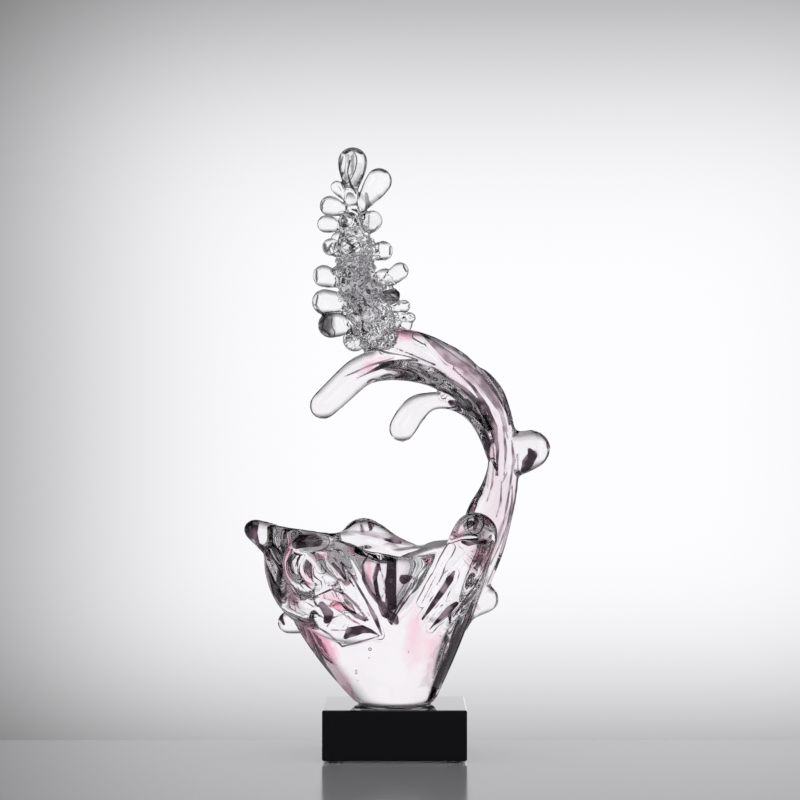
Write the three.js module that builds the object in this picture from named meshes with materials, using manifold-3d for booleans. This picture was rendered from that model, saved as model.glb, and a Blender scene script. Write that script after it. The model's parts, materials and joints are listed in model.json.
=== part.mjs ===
/*
 * A hand-worked glass sculpture on a black glass plinth.
 *
 * A solid flared vessel of clear and pink glass stands on the plinth. Its rim is pulled into petals. From its
 * right side a fluted wave of glass rises and curls over to the left, and lets two long drips fall. The wave
 * ends in an upright spike of blossom: a tapered core with drop-shaped beads of clear glass all round it.
 *
 * Every gather of glass that is laid on hot is a piece of its own. Where it sits on another it is cut to that
 * surface, with a seam of seamGap between the two.
 *
 * Millimetres, +Z up, X to the right, Y away from the viewer. The origin is the middle of the plinth, on the
 * surface that the sculpture stands on.
 */
import * as THREE from "three";
import { mergeVertices } from "three/addons/utils/BufferGeometryUtils.js";
import Module from "manifold-3d";

const wasm = await Module();
wasm.setup();

// Main size: the height of the glass above its foot. The tables below are drawn for a glass 470 mm tall, and
// every length in them follows this one.
const glassHeight = 470;
const sizing = glassHeight / 470;

// A row of a table with its lengths sized, and its angles as they are.
function sized(row) {
  const entries = Object.entries(row).map(([key, value]) => {
    if (key === "bearing" || key === "lift") return [key, value];
    return [key, Array.isArray(value) ? value.map((part) => part * sizing) : value * sizing];
  });
  return Object.fromEntries(entries);
}

// Plinth, its four clear bumpers, and the film of adhesive under the glass
const plinthSide = 120;
const plinthHeight = 42;
const plinthBevel = 1;
const bumperDiameter = 10;
const bumperHeight = 1.5;
const bumperInset = 10; // from the plinth's sides to a bumper's middle
const glueThickness = 0.4;
const glueInset = 1.5; // the film stops this far inside the glass foot

// Seam left between two gathers that are fused together
const seamGap = 0.3;

// Vessel: heights are above the glass foot, bearings go round from 0 at the right through 90 at the back
const footRadius = 34 * sizing;
const footRound = 1.5;
const wallBulge = 8 * sizing; // how far the wall's control line swells past a straight cone
const wallBulgeLeft = 27 * sizing; // how much more it swells on the left
const rimRound = 4.5 * sizing;
const rim = [
  { bearing: 16, reach: 80, height: 138 },
  { bearing: 48, reach: 67, height: 135 },
  { bearing: 74, reach: 63, height: 131 },
  { bearing: 92, reach: 62, height: 138 },
  { bearing: 111, reach: 67, height: 144 },
  { bearing: 139, reach: 76, height: 143 },
  { bearing: 162, reach: 92, height: 147 },
  { bearing: 180, reach: 110, height: 152 },
  { bearing: 202, reach: 92, height: 150 },
  { bearing: 222, reach: 80, height: 145 },
  { bearing: 234, reach: 72, height: 140 },
  { bearing: 252, reach: 64, height: 132 },
  { bearing: 281, reach: 62, height: 127 },
  { bearing: 305, reach: 68, height: 135 },
  { bearing: 326, reach: 77, height: 143 },
  { bearing: 350, reach: 84, height: 141 },
].map(sized);

// The hollow inside the vessel narrows to a rounded point
const mouth = sized({ x: -22, halfWidth: 60, halfDepth: 45, drop: 5 });
const hollowFloor = sized({ x: -4, height: 66 });
const hollowBelly = sized({ x: 14, y: 28 });

// Shallow drapes in the vessel's wall, which run up from the foot
const drapeCount = 9;
const drapeDepth = 2.2 * sizing;

// Limbs: points along each gather, with its width and thickness there
const tipLeft = [
  { at: [-86, -2, 128], wide: 34, thick: 30 },
  { at: [-100, -2, 136], wide: 30, thick: 26 },
  { at: [-112, -2, 143], wide: 24, thick: 20 },
  { at: [-127.5, -2, 151], wide: 15, thick: 15 },
].map(sized);
const foldLeft = [
  { at: [-104, -8, 134], wide: 16, thick: 14 },
  { at: [-99, -18, 110], wide: 22, thick: 18 },
  { at: [-87, -28, 90], wide: 27, thick: 20 },
  { at: [-68, -42, 79], wide: 31, thick: 22 },
  { at: [-42, -50, 69], wide: 30, thick: 20 },
  { at: [-12, -52, 61], wide: 9, thick: 9 },
].map(sized);
const curlFront = [
  { at: [-51, -60, 137], wide: 16, thick: 14 },
  { at: [-66, -55, 138], wide: 16, thick: 14 },
  { at: [-80, -46, 136], wide: 15, thick: 14 },
  { at: [-88, -38, 121], wide: 13, thick: 13 },
  { at: [-83, -41, 105], wide: 12, thick: 12 },
  { at: [-69, -49, 97], wide: 12, thick: 12 },
  { at: [-56, -55, 102], wide: 10, thick: 10 },
].map(sized);
const curlHeart = [
  { at: [-76, -49, 129], wide: 12, thick: 11 },
  { at: [-71, -52, 118], wide: 15, thick: 13 },
  { at: [-62, -55, 108], wide: 12, thick: 12 },
].map(sized);
const ridgeFront = [
  { at: [-56, -60, 128], wide: 12, thick: 11 },
  { at: [-41, -61, 113], wide: 14, thick: 12 },
  { at: [-27, -60, 92], wide: 13, thick: 12 },
  { at: [-14, -56, 70], wide: 11, thick: 11 },
  { at: [-2, -47, 43], wide: 6, thick: 6 },
].map(sized);
const petalRight = [
  { at: [29, -48, 74], wide: 17, thick: 12 },
  { at: [40, -52, 90], wide: 29, thick: 16 },
  { at: [53, -54, 112], wide: 37, thick: 19 },
  { at: [64, -51, 136], wide: 39, thick: 20 },
  { at: [73, -48, 162.5], wide: 33, thick: 18 },
].map(sized);
const pleatRight = [
  { at: [74, -34, 122], wide: 14, thick: 12 },
  { at: [64, -42, 103], wide: 17, thick: 13 },
  { at: [53, -45, 85], wide: 15, thick: 12 },
  { at: [43, -44, 65], wide: 6, thick: 7 },
].map(sized);
const petalBack = [
  { at: [-27, 46, 100], wide: 34, thick: 16 },
  { at: [-26, 58, 124], wide: 42, thick: 18 },
  { at: [-25, 63, 140], wide: 40, thick: 18 },
  { at: [-24, 62, 155.5], wide: 30, thick: 16 },
].map(sized);
const knobLowLeft = [
  { at: [-62, 22, 70], wide: 28, thick: 22 },
  { at: [-80, 26, 68], wide: 24, thick: 20 },
  { at: [-101, 30, 64], wide: 19, thick: 17 },
].map(sized);
const knobLowRight = [
  { at: [50, 18, 76], wide: 26, thick: 26 },
  { at: [68, 16, 84], wide: 26, thick: 26 },
  { at: [89, 14, 90], wide: 22, thick: 24 },
].map(sized);

// Wave: its trunk is fluted, and its width is what shows from the front
const fluteCount = 11;
const fluteDepth = 0.09; // share of the trunk's half width
const trunk = [
  { at: [48, 10, 60], wide: 24, thick: 24 },
  { at: [58, 12, 90], wide: 36, thick: 30 },
  { at: [66.5, 13, 113], wide: 40, thick: 32 },
  { at: [74, 13, 134], wide: 42, thick: 32 },
  { at: [81, 12, 158], wide: 41, thick: 32 },
  { at: [88, 10, 177], wide: 34, thick: 30 },
  { at: [92, 8, 199], wide: 27.5, thick: 28 },
  { at: [90.5, 6, 223], wide: 25.5, thick: 27 },
  { at: [84, 4, 241], wide: 28, thick: 28 },
  { at: [73.5, 3, 257], wide: 31, thick: 29 },
  { at: [53.5, 2, 280], wide: 33, thick: 30 },
  { at: [36, 1, 291], wide: 33, thick: 30 },
  { at: [16, 0, 299], wide: 33, thick: 31 },
  { at: [-14, 0, 304], wide: 32, thick: 30 },
].map(sized);
const fingerUpper = [
  { at: [76, -6, 250], wide: 18, thick: 16 },
  { at: [60, -8, 266], wide: 26, thick: 22 },
  { at: [40, -9, 278], wide: 28, thick: 25 },
  { at: [16, -10, 285], wide: 28, thick: 26 },
  { at: [-10, -11, 286], wide: 28, thick: 26 },
  { at: [-29, -12, 280], wide: 27, thick: 26 },
  { at: [-47, -13, 264], wide: 26, thick: 25 },
  { at: [-69, -14, 243], wide: 23, thick: 23 },
].map(sized);
const fingerLower = [
  { at: [82, -12, 204], wide: 12, thick: 12 },
  { at: [77, -13, 226], wide: 14, thick: 13 },
  { at: [64, -14, 246], wide: 15, thick: 14 },
  { at: [46, -15, 254], wide: 13, thick: 13 },
  { at: [30, -16, 255], wide: 17, thick: 16 },
  { at: [16, -17, 247], wide: 24, thick: 22 },
  { at: [0, -18, 222], wide: 23, thick: 22 },
].map(sized);
const strandOuter = [
  { at: [99, 5, 206], wide: 8, thick: 9 },
  { at: [98.5, 4, 226], wide: 9, thick: 11 },
  { at: [94.5, 3, 245], wide: 10, thick: 12 },
  { at: [86.5, 2, 265], wide: 11, thick: 12 },
  { at: [71, 1, 283], wide: 9, thick: 10 },
].map(sized);
const knobTrunk = [
  { at: [84, 4, 203], wide: 24, thick: 18 },
  { at: [101, 3, 209], wide: 36, thick: 24 },
  { at: [114, 2, 214], wide: 35, thick: 27 },
  { at: [132, 1, 219], wide: 27, thick: 25 },
].map(sized);

// Blossom: a core that tapers upwards, and the beads round it
const core = [
  { at: [-1, 0, 297], wide: 32, thick: 32 },
  { at: [-13, 0, 313], wide: 40, thick: 37 },
  { at: [-20, 0, 336], wide: 36, thick: 34 },
  { at: [-26, 0, 362], wide: 31, thick: 29 },
  { at: [-32, 0, 388], wide: 24, thick: 23 },
  { at: [-36, 0, 414], wide: 17, thick: 17 },
  { at: [-37, 0, 440], wide: 11, thick: 11 },
].map(sized);
const crownBead = sized({ base: [-37, 0, 424], top: [-35, -1, 470], wide: 26 });
const beads = [
  { rise: 417, bearing: 352, lift: 45, length: 45, wide: 24 },
  { rise: 426, bearing: 178, lift: 32, length: 24, wide: 13 },
  { rise: 414, bearing: 188, lift: 16, length: 30, wide: 20 },
  { rise: 396, bearing: 168, lift: 20, length: 36, wide: 15 },
  { rise: 402, bearing: 228, lift: 10, length: 28, wide: 18 },
  { rise: 395, bearing: 348, lift: 38, length: 31, wide: 20 },
  { rise: 388, bearing: 272, lift: 0, length: 30, wide: 21 },
  { rise: 371, bearing: 354, lift: 24, length: 34, wide: 21 },
  { rise: 384, bearing: 176, lift: 6, length: 31, wide: 18 },
  { rise: 359, bearing: 184, lift: 6, length: 43, wide: 20 },
  { rise: 336, bearing: 357, lift: 46, length: 47, wide: 16 },
  { rise: 340, bearing: 187, lift: -1, length: 49, wide: 24 },
  { rise: 321, bearing: 197, lift: 2, length: 47, wide: 22 },
  { rise: 336, bearing: 325, lift: 14, length: 38, wide: 18 },
  { rise: 326, bearing: 8, lift: 16, length: 36, wide: 15 },
  { rise: 312, bearing: 190, lift: -24, length: 36, wide: 22 },
  { rise: 321, bearing: 240, lift: -4, length: 37, wide: 23 },
  { rise: 330, bearing: 280, lift: 4, length: 37, wide: 22 },
  { rise: 357, bearing: 232, lift: 6, length: 33, wide: 19 },
  { rise: 352, bearing: 292, lift: 12, length: 34, wide: 20 },
  { rise: 404, bearing: 300, lift: 18, length: 26, wide: 16 },
  { rise: 316, bearing: 320, lift: 8, length: 37, wide: 18 },
  { rise: 408, bearing: 96, lift: 28, length: 30, wide: 19 },
  { rise: 394, bearing: 58, lift: 24, length: 29, wide: 17 },
  { rise: 386, bearing: 122, lift: 10, length: 32, wide: 19 },
  { rise: 371, bearing: 82, lift: 18, length: 34, wide: 20 },
  { rise: 356, bearing: 134, lift: 6, length: 37, wide: 21 },
  { rise: 350, bearing: 62, lift: 20, length: 37, wide: 19 },
  { rise: 333, bearing: 146, lift: 0, length: 41, wide: 22 },
  { rise: 331, bearing: 98, lift: 8, length: 39, wide: 22 },
  { rise: 317, bearing: 56, lift: 4, length: 37, wide: 20 },
  { rise: 311, bearing: 120, lift: -10, length: 37, wide: 22 },
].map(sized);

// Facets
const vesselColumns = 44;
const wallRows = 8;
const hollowRows = 4;
const trunkRows = 25;
const limbSides = 12;
const strandSides = 8;
const coreSides = 14;
const roundFacets = 18;
const capRows = 2;
const beadSides = 10;
const beadRows = 4;

// Colours from the photograph
const blackGlass = new THREE.MeshStandardMaterial({ color: 0x0b0b0d, roughness: 0.06, metalness: 0 });
const clearRubber = new THREE.MeshStandardMaterial({ color: 0xdedee2, roughness: 0.35, metalness: 0 });
const clearGlue = new THREE.MeshStandardMaterial({ color: 0xe8e8ec, roughness: 0.1, metalness: 0 });
const clearGlass = new THREE.MeshStandardMaterial({ color: 0xe6e7ec, roughness: 0.02, metalness: 0 });
const pinkGlass = new THREE.MeshStandardMaterial({ color: 0xf3c6d8, roughness: 0.02, metalness: 0 });

const radians = THREE.MathUtils.degToRad;

// A direction from its bearing in plan and its lift above the horizontal.
function heading(bearing, lift) {
  const flat = Math.cos(radians(lift));
  return new THREE.Vector3(
    flat * Math.cos(radians(bearing)),
    flat * Math.sin(radians(bearing)),
    Math.sin(radians(lift)),
  );
}

// A closed skin over rings of points, all with the same number of points, with a fan of faces at both ends.
function skin(rings, start, end) {
  const columns = rings[0].length;
  const points = [start, ...rings.flat(), end];
  const index = [];
  const at = (row, column) => 1 + row * columns + (column % columns);
  for (let column = 0; column < columns; column += 1) {
    index.push(0, at(0, column + 1), at(0, column));
    for (let row = 0; row < rings.length - 1; row += 1) {
      index.push(at(row, column), at(row, column + 1), at(row + 1, column + 1));
      index.push(at(row, column), at(row + 1, column + 1), at(row + 1, column));
    }
    index.push(at(rings.length - 1, column), at(rings.length - 1, column + 1), points.length - 1);
  }
  const geometry = new THREE.BufferGeometry().setFromPoints(points);
  geometry.setIndex(index);
  return geometry;
}

// A three.js geometry as a solid that can be joined and cut.
function solidOf(geometry) {
  const bare = geometry.clone();
  bare.deleteAttribute("normal");
  bare.deleteAttribute("uv");
  const merged = mergeVertices(bare, 1e-4);
  return new wasm.Manifold(
    new wasm.Mesh({
      numProp: 3,
      vertProperties: new Float32Array(merged.getAttribute("position").array),
      triVerts: new Uint32Array(merged.index.array),
    }),
  );
}

// The largest body of a solid, as a three.js geometry: a cut can leave crumbs behind its host.
function geometryOf(solid) {
  const bodies = solid.decompose();
  const largest = bodies.reduce((most, body) => (body.volume() > most.volume() ? body : most));
  const mesh = largest.getMesh();
  const geometry = new THREE.BufferGeometry();
  geometry.setAttribute("position", new THREE.BufferAttribute(new Float32Array(mesh.vertProperties), 3));
  geometry.setIndex(new THREE.BufferAttribute(new Uint32Array(mesh.triVerts), 1));
  geometry.computeVertexNormals();
  return geometry;
}

// A smooth curve through points given as arrays.
function curveThrough(points, kind = "centripetal") {
  return new THREE.CatmullRomCurve3(points.map((point) => new THREE.Vector3(...point)), false, kind);
}

// Sweeps an oval section along stations. The first and last stations are the very tips of its rounded ends.
// grow swells it on every side, flutes is the number of scallops round the section, and face is the way its
// thickness points.
function limb(stations, { grow, sides = limbSides, rows, flutes = 0, face = [0, -1, 0] }) {
  const path = curveThrough(stations.map(({ at }) => at));
  const halfSizes = stations.map(({ wide, thick }) => [wide / 2, thick / 2, 0]);
  const sizes = curveThrough(halfSizes, "catmullrom");
  const length = path.getLength();
  const rooted = Math.min(stations[0].wide, stations[0].thick) / 2;
  const tipped = Math.min(stations.at(-1).wide, stations.at(-1).thick) / 2;
  const samples = [];
  for (let row = 1; row <= capRows; row += 1) {
    const turn = (row / (capRows + 1)) * (Math.PI / 2);
    samples.push({ along: rooted * (1 - Math.cos(turn)), swell: Math.sin(turn) });
  }
  const steps = rows ?? 2 * stations.length + 2;
  for (let row = 0; row <= steps; row += 1) {
    samples.push({ along: rooted + (length - rooted - tipped) * (row / steps), swell: 1 });
  }
  for (let row = capRows; row >= 1; row -= 1) {
    const turn = (row / (capRows + 1)) * (Math.PI / 2);
    samples.push({ along: length - tipped * (1 - Math.cos(turn)), swell: Math.sin(turn) });
  }
  const outwards = new THREE.Vector3(...face);
  const rings = samples.map(({ along, swell }) => {
    const t = path.getUtoTmapping(along / length);
    const centre = path.getPoint(t);
    const tangent = path.getTangent(t);
    const size = sizes.getPoint(t);
    const normal = outwards.clone().addScaledVector(tangent, -outwards.dot(tangent)).normalize();
    const side = new THREE.Vector3().crossVectors(tangent, normal);
    return Array.from({ length: sides }, (_, column) => {
      const angle = (2 * Math.PI * column) / sides;
      const scallop = flutes ? 1 + fluteDepth * (2 * Math.abs(Math.sin((flutes * angle) / 2)) - 1) : 1;
      return centre
        .clone()
        .addScaledVector(side, (size.x * swell * scallop + grow) * Math.cos(angle))
        .addScaledVector(normal, -(size.y * swell * scallop + grow) * Math.sin(angle));
    });
  });
  const start = path.getPoint(0).addScaledVector(path.getTangent(0), -grow);
  const end = path.getPoint(1).addScaledVector(path.getTangent(1), grow);
  return skin(rings, start, end);
}

// A drop of glass: a narrow neck at the origin that swells along +Y to a round head.
function drop(length, wide, grow) {
  const head = wide / 2;
  const neck = 0.4; // of the head's radius
  const profile = [new THREE.Vector2(0, -grow)];
  for (let row = 0; row <= beadRows; row += 1) {
    const share = row / beadRows;
    const along = share * (length - head);
    const radius = head * (neck + (1 - neck) * Math.sin((share * Math.PI) / 2) ** 1.6);
    profile.push(new THREE.Vector2(radius + grow, row === 0 ? -grow : along));
  }
  for (let row = 1; row <= capRows; row += 1) {
    const turn = (row / (capRows + 1)) * (Math.PI / 2);
    profile.push(
      new THREE.Vector2((head + grow) * Math.cos(turn), length - head + (head + grow) * Math.sin(turn)),
    );
  }
  profile.push(new THREE.Vector2(0, length + grow));
  return new THREE.LatheGeometry(profile, beadSides);
}

// A drop that starts at root and points along a direction.
function dropFrom(root, direction, length, wide, grow) {
  const turn = new THREE.Quaternion().setFromUnitVectors(new THREE.Vector3(0, 1, 0), direction);
  return drop(length, wide, grow).applyQuaternion(turn).translate(root.x, root.y, root.z);
}

// The rim's reach and height at a bearing, eased from one station to the next.
function rimAt(bearing) {
  const turn = THREE.MathUtils.euclideanModulo(bearing, 360);
  const next = rim.findIndex((station) => station.bearing > turn);
  const after = next < 0 ? { ...rim[0], bearing: rim[0].bearing + 360 } : rim[next];
  const last = rim.at(-1);
  const before = next === 0 ? { ...last, bearing: last.bearing - 360 } : rim.at(next < 0 ? -1 : next - 1);
  const share = THREE.MathUtils.smoothstep(turn, before.bearing, after.bearing);
  return {
    reach: THREE.MathUtils.lerp(before.reach, after.reach, share),
    height: THREE.MathUtils.lerp(before.height, after.height, share),
  };
}

// A point on the bow from one point to another, pushed sideways by bend at its middle.
function bow(from, to, bend, share) {
  const middle = from.clone().add(to).multiplyScalar(0.5).add(bend);
  return new THREE.QuadraticBezierCurve3(from, middle, to).getPoint(share);
}

// The vessel. With grow it is the solid block that other gathers are cut to, without its hollow.
function vessel(grow) {
  const bearings = Array.from({ length: vesselColumns }, (_, column) => (360 * column) / vesselColumns);
  const bottom = new THREE.Vector3(hollowFloor.x, 0, hollowFloor.height);
  const columns = bearings.map((bearing) => {
    const out = heading(bearing, 0);
    const { reach, height } = rimAt(bearing);
    const foot = out.clone().multiplyScalar(footRadius - footRound + grow).setZ(-grow);
    const start = out.clone().multiplyScalar(footRadius + grow).setZ(footRound);
    const edge = out.clone().multiplyScalar(reach + grow).setZ(height - rimRound);
    const bulge = out.clone().multiplyScalar(wallBulge + wallBulgeLeft * ((1 - out.x) / 2) ** 3);
    const points = [foot];
    for (let row = 0; row <= wallRows; row += 1) {
      const share = row / wallRows;
      const drape = drapeDepth * Math.sin(Math.PI * share) * Math.cos(radians(drapeCount * bearing));
      points.push(bow(start, edge, bulge, share).addScaledVector(out, drape));
    }
    const brow = 0.3 * rimRound;
    points.push(out.clone().multiplyScalar(reach - brow + grow).setZ(height - brow + grow));
    points.push(out.clone().multiplyScalar(reach - rimRound).setZ(height + grow));
    const lip = new THREE.Vector3(
      mouth.x + mouth.halfWidth * out.x,
      mouth.halfDepth * out.y,
      height - mouth.drop + grow,
    );
    if (grow > 0) return [...points, lip];
    const belly = new THREE.Vector3(hollowBelly.x * out.x, hollowBelly.y * out.y, 0);
    for (let row = 0; row <= hollowRows; row += 1) {
      points.push(bow(lip, bottom, belly, row / (hollowRows + 0.5)));
    }
    return points;
  });
  const rings = columns[0].map((_, row) => columns.map((points) => points[row]));
  const rimMiddle = rim.reduce((sum, station) => sum + station.height, 0) / rim.length;
  const end = grow > 0 ? new THREE.Vector3(mouth.x, 0, rimMiddle) : bottom;
  return skin(rings, new THREE.Vector3(0, 0, -grow), end);
}

// The block of the plinth with its polished bevels.
function plinthBlock() {
  const half = plinthSide / 2 - plinthBevel;
  const outline = new THREE.Shape([
    new THREE.Vector2(-half, -half),
    new THREE.Vector2(half, -half),
    new THREE.Vector2(half, half),
    new THREE.Vector2(-half, half),
  ]);
  return new THREE.ExtrudeGeometry(outline, {
    depth: plinthHeight - 2 * plinthBevel,
    bevelEnabled: true,
    bevelSize: plinthBevel,
    bevelThickness: plinthBevel,
    bevelSegments: 1,
  }).translate(0, 0, plinthBevel);
}

// A clear bumper: a flat-topped pad with a rounded lower edge, standing on z 0.
function bumper() {
  const radius = bumperDiameter / 2;
  const edge = bumperHeight / 2;
  const profile = [new THREE.Vector2(0, 0), new THREE.Vector2(radius - edge, 0)];
  for (let row = 1; row <= capRows; row += 1) {
    const turn = (row / capRows) * (Math.PI / 2);
    profile.push(new THREE.Vector2(radius - edge + edge * Math.sin(turn), edge - edge * Math.cos(turn)));
  }
  profile.push(new THREE.Vector2(radius, bumperHeight), new THREE.Vector2(0, bumperHeight));
  return new THREE.LatheGeometry(profile, roundFacets).rotateX(Math.PI / 2);
}

const sculpture = new THREE.Group();
const glass = new THREE.Group();
const plinthTop = bumperHeight + plinthHeight;
glass.position.z = plinthTop + glueThickness;
sculpture.add(glass);

// Adds a mesh of one node to a group.
function place(group, name, geometry, material, position = [0, 0, 0]) {
  const mesh = new THREE.Mesh(geometry, material.clone());
  mesh.name = name;
  mesh.position.set(...position);
  group.add(mesh);
}

place(sculpture, "plinth_block", plinthBlock(), blackGlass, [0, 0, bumperHeight]);
const bumperReach = plinthSide / 2 - bumperInset;
for (const [depth, y] of [["front", -bumperReach], ["back", bumperReach]]) {
  for (const [side, x] of [["left", -bumperReach], ["right", bumperReach]]) {
    place(sculpture, `bumper_${depth}_${side}`, bumper(), clearRubber, [x, y, 0]);
  }
}
const glueRadius = footRadius - footRound - glueInset;
const film = new THREE.CylinderGeometry(glueRadius, glueRadius, glueThickness, 2 * roundFacets);
film.rotateX(Math.PI / 2);
place(sculpture, "adhesive_film", film, clearGlue, [0, 0, plinthTop + glueThickness / 2]);

// Each gather's solid, swollen by the seam: what the gathers laid on it are cut to
const swollen = new Map();

// Adds a gather: its shape when grown by an amount, cut to the gathers that it is laid on.
function gather(name, material, shape, hosts = []) {
  let solid = solidOf(shape(0));
  for (const host of hosts) solid = solid.subtract(swollen.get(host));
  swollen.set(name, solidOf(shape(seamGap)));
  place(glass, name, geometryOf(solid), material);
}

// Adds a gather that is swept along stations.
function gatherLimb(name, material, stations, options, hosts) {
  gather(name, material, (grow) => limb(stations, { grow, ...options }), hosts);
}

const trunkFacets = { sides: 3 * fluteCount, flutes: fluteCount, rows: trunkRows };
gather("vessel", pinkGlass, vessel);
gatherLimb("wave_trunk", pinkGlass, trunk, trunkFacets, ["vessel"]);
gatherLimb("petal_left_tip", pinkGlass, tipLeft, { face: [0, -1, 0.2] }, ["vessel"]);
gatherLimb("petal_right", pinkGlass, petalRight, {}, ["vessel", "wave_trunk"]);
gatherLimb("pleat_right", pinkGlass, pleatRight, {}, ["vessel", "wave_trunk", "petal_right"]);
gatherLimb("petal_back", clearGlass, petalBack, { face: [0, 1, 0.2] }, ["vessel"]);
gatherLimb("fold_left", pinkGlass, foldLeft, { face: [-0.6, -0.8, 0] }, ["vessel", "petal_left_tip"]);
gatherLimb(
  "curl_front",
  pinkGlass,
  curlFront,
  { face: [-0.6, -0.8, 0.2] },
  ["vessel", "fold_left", "petal_left_tip"],
);
gatherLimb(
  "curl_heart",
  clearGlass,
  curlHeart,
  { face: [-0.6, -0.8, 0] },
  ["vessel", "curl_front", "fold_left"],
);
gatherLimb(
  "ridge_front",
  pinkGlass,
  ridgeFront,
  { face: [-0.3, -1, 0] },
  ["vessel", "fold_left", "curl_front", "curl_heart"],
);
gatherLimb("knob_low_left", clearGlass, knobLowLeft, {}, ["vessel", "fold_left"]);
gatherLimb("knob_low_right", clearGlass, knobLowRight, {}, ["vessel", "wave_trunk", "pleat_right"]);
gatherLimb("drip_upper", clearGlass, fingerUpper, {}, ["wave_trunk"]);
gatherLimb("drip_lower", clearGlass, fingerLower, {}, ["wave_trunk", "drip_upper"]);
gatherLimb("knob_wave", clearGlass, knobTrunk, {}, ["wave_trunk"]);
gatherLimb("strand_outer", pinkGlass, strandOuter, { sides: strandSides }, ["wave_trunk", "knob_wave"]);
gatherLimb("blossom_core", clearGlass, core, { sides: coreSides }, ["wave_trunk", "drip_upper"]);

// The core's axis at a height.
const coreAxis = curveThrough(core.map((station) => station.at)).getPoints(200);
function axisAt(height) {
  const off = (point) => Math.abs(point.z - height);
  return coreAxis.reduce((best, point) => (off(point) < off(best) ? point : best));
}

const beadHosts = ["blossom_core", "wave_trunk", "drip_upper"];
const crownBase = new THREE.Vector3(...crownBead.base);
const crownReach = new THREE.Vector3(...crownBead.top).sub(crownBase);
const crownShape = (grow) =>
  dropFrom(crownBase, crownReach.clone().normalize(), crownReach.length(), crownBead.wide, grow);
gather("bead_crown", clearGlass, crownShape, beadHosts);
const laid = ["bead_crown"];
beads.forEach(({ rise, bearing, lift, length, wide }, number) => {
  const name = `bead_${String(number + 1).padStart(2, "0")}`;
  const shape = (grow) => dropFrom(axisAt(rise), heading(bearing, lift), length, wide, grow);
  gather(name, clearGlass, shape, [...beadHosts, ...laid]);
  laid.push(name);
});

export default sculpture;
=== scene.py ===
"""A hand-worked glass sculpture on a black glass plinth, in a plain bright studio.

The solid glass is worked as gathers: swept limbs, strands and drops that are laid over each other and fused
into one skin, as hot glass is. Sizes are in millimetres above the glass foot unless a name says otherwise,
and become metres where a mesh is made. X runs to the right, Y away from the viewer and Z up.
"""

import functools
import json
import logging
import math
from dataclasses import dataclass, field
from enum import Enum
from typing import Sequence

import bpy
import numpy as np
from mathutils import Matrix, Vector, kdtree


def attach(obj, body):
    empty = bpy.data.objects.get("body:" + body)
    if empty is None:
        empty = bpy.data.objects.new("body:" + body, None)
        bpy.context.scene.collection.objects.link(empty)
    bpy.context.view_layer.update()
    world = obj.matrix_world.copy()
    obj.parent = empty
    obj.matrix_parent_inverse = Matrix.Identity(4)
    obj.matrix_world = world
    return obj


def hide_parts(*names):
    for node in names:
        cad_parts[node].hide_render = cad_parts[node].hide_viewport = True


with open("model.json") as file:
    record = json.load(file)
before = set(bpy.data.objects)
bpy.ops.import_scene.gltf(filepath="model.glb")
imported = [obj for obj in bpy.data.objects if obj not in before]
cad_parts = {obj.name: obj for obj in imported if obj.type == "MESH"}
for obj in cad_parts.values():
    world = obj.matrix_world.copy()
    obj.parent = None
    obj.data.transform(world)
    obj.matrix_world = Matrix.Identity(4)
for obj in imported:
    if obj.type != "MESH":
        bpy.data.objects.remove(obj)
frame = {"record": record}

logging.basicConfig(level=logging.INFO, format="%(message)s")
log = logging.getLogger("glass_sculpture")

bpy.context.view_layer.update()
MM = 0.001
FOOT = 43.9  # height of the glass foot above the table
BODY = "root"
FRAME_SIDE = 800  # pixels across and down the photograph
FOCAL = 3025.0  # the camera's focal length, in those pixels
CAMERA_X = 4.5
CAMERA_RISE = 256.2  # above the glass foot
CAMERA_DISTANCE = 2560.0
SHADE_CORD_LEVEL_REACH = 4.0  # the skin this near a cord of painted shade tells how far forward it lies
SHADE_CORD_FADE = 12.0  # the depth over which a cord of painted shade fades, before and behind where it lies
DRAWN_HALF = 12.0  # half a section's width, in the lines' own scale
JOINT_ALIGNMENT = 0.95  # the cosine of two gathers' runs, below which their lines fade where they meet
JOINT_FADES = 4  # rounds in which that fade spreads
FOLD_DISTORTION = 1.2
POLISH = 0.5  # how far a round of polish smooths the worked folds
POLISH_ROUNDS = 7
DROP_STEM = 0.28  # a drop's neck, in shares of its head


# Shapes


@dataclass(frozen=True)
class Station:
    """A point on a gather's path, with the gather's width and thickness there."""

    x: float
    y: float
    z: float
    wide: float
    thick: float = 0.0

    def row(self) -> list[float]:
        """The station as numbers, with a missing thickness the same as the width."""
        return [self.x, self.y, self.z, self.wide / 2, (self.thick or self.wide) / 2]


def stations(*rows: Sequence[float]) -> list[Station]:
    """Stations from rows of x, y, z, width and an optional thickness."""
    return [Station(*row) for row in rows]


def deselect() -> None:
    """Deselects everything, in object mode."""
    if bpy.context.object and bpy.context.object.mode != "OBJECT":
        bpy.ops.object.mode_set(mode="OBJECT")
    bpy.ops.object.select_all(action="DESELECT")


def through(points: np.ndarray, steps: int) -> np.ndarray:
    """A smooth curve through points.

    Args:
        points: One row for each point, with any number of columns.
        steps: Samples along the whole curve.

    Returns:
        One row for each sample, from the first point to the last.
    """
    padded = np.vstack([2 * points[0] - points[1], points, 2 * points[-1] - points[-2]])
    place = np.linspace(0, len(points) - 1, steps)
    segment = np.minimum(place.astype(int), len(points) - 2)
    t = (place - segment)[:, None]
    a, b, c, d = (padded[segment + k] for k in range(4))
    return 0.5 * (2 * b + (c - a) * t + (2 * a - 5 * b + 4 * c - d) * t**2 + (3 * b - a - 3 * c + d) * t**3)


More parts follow.
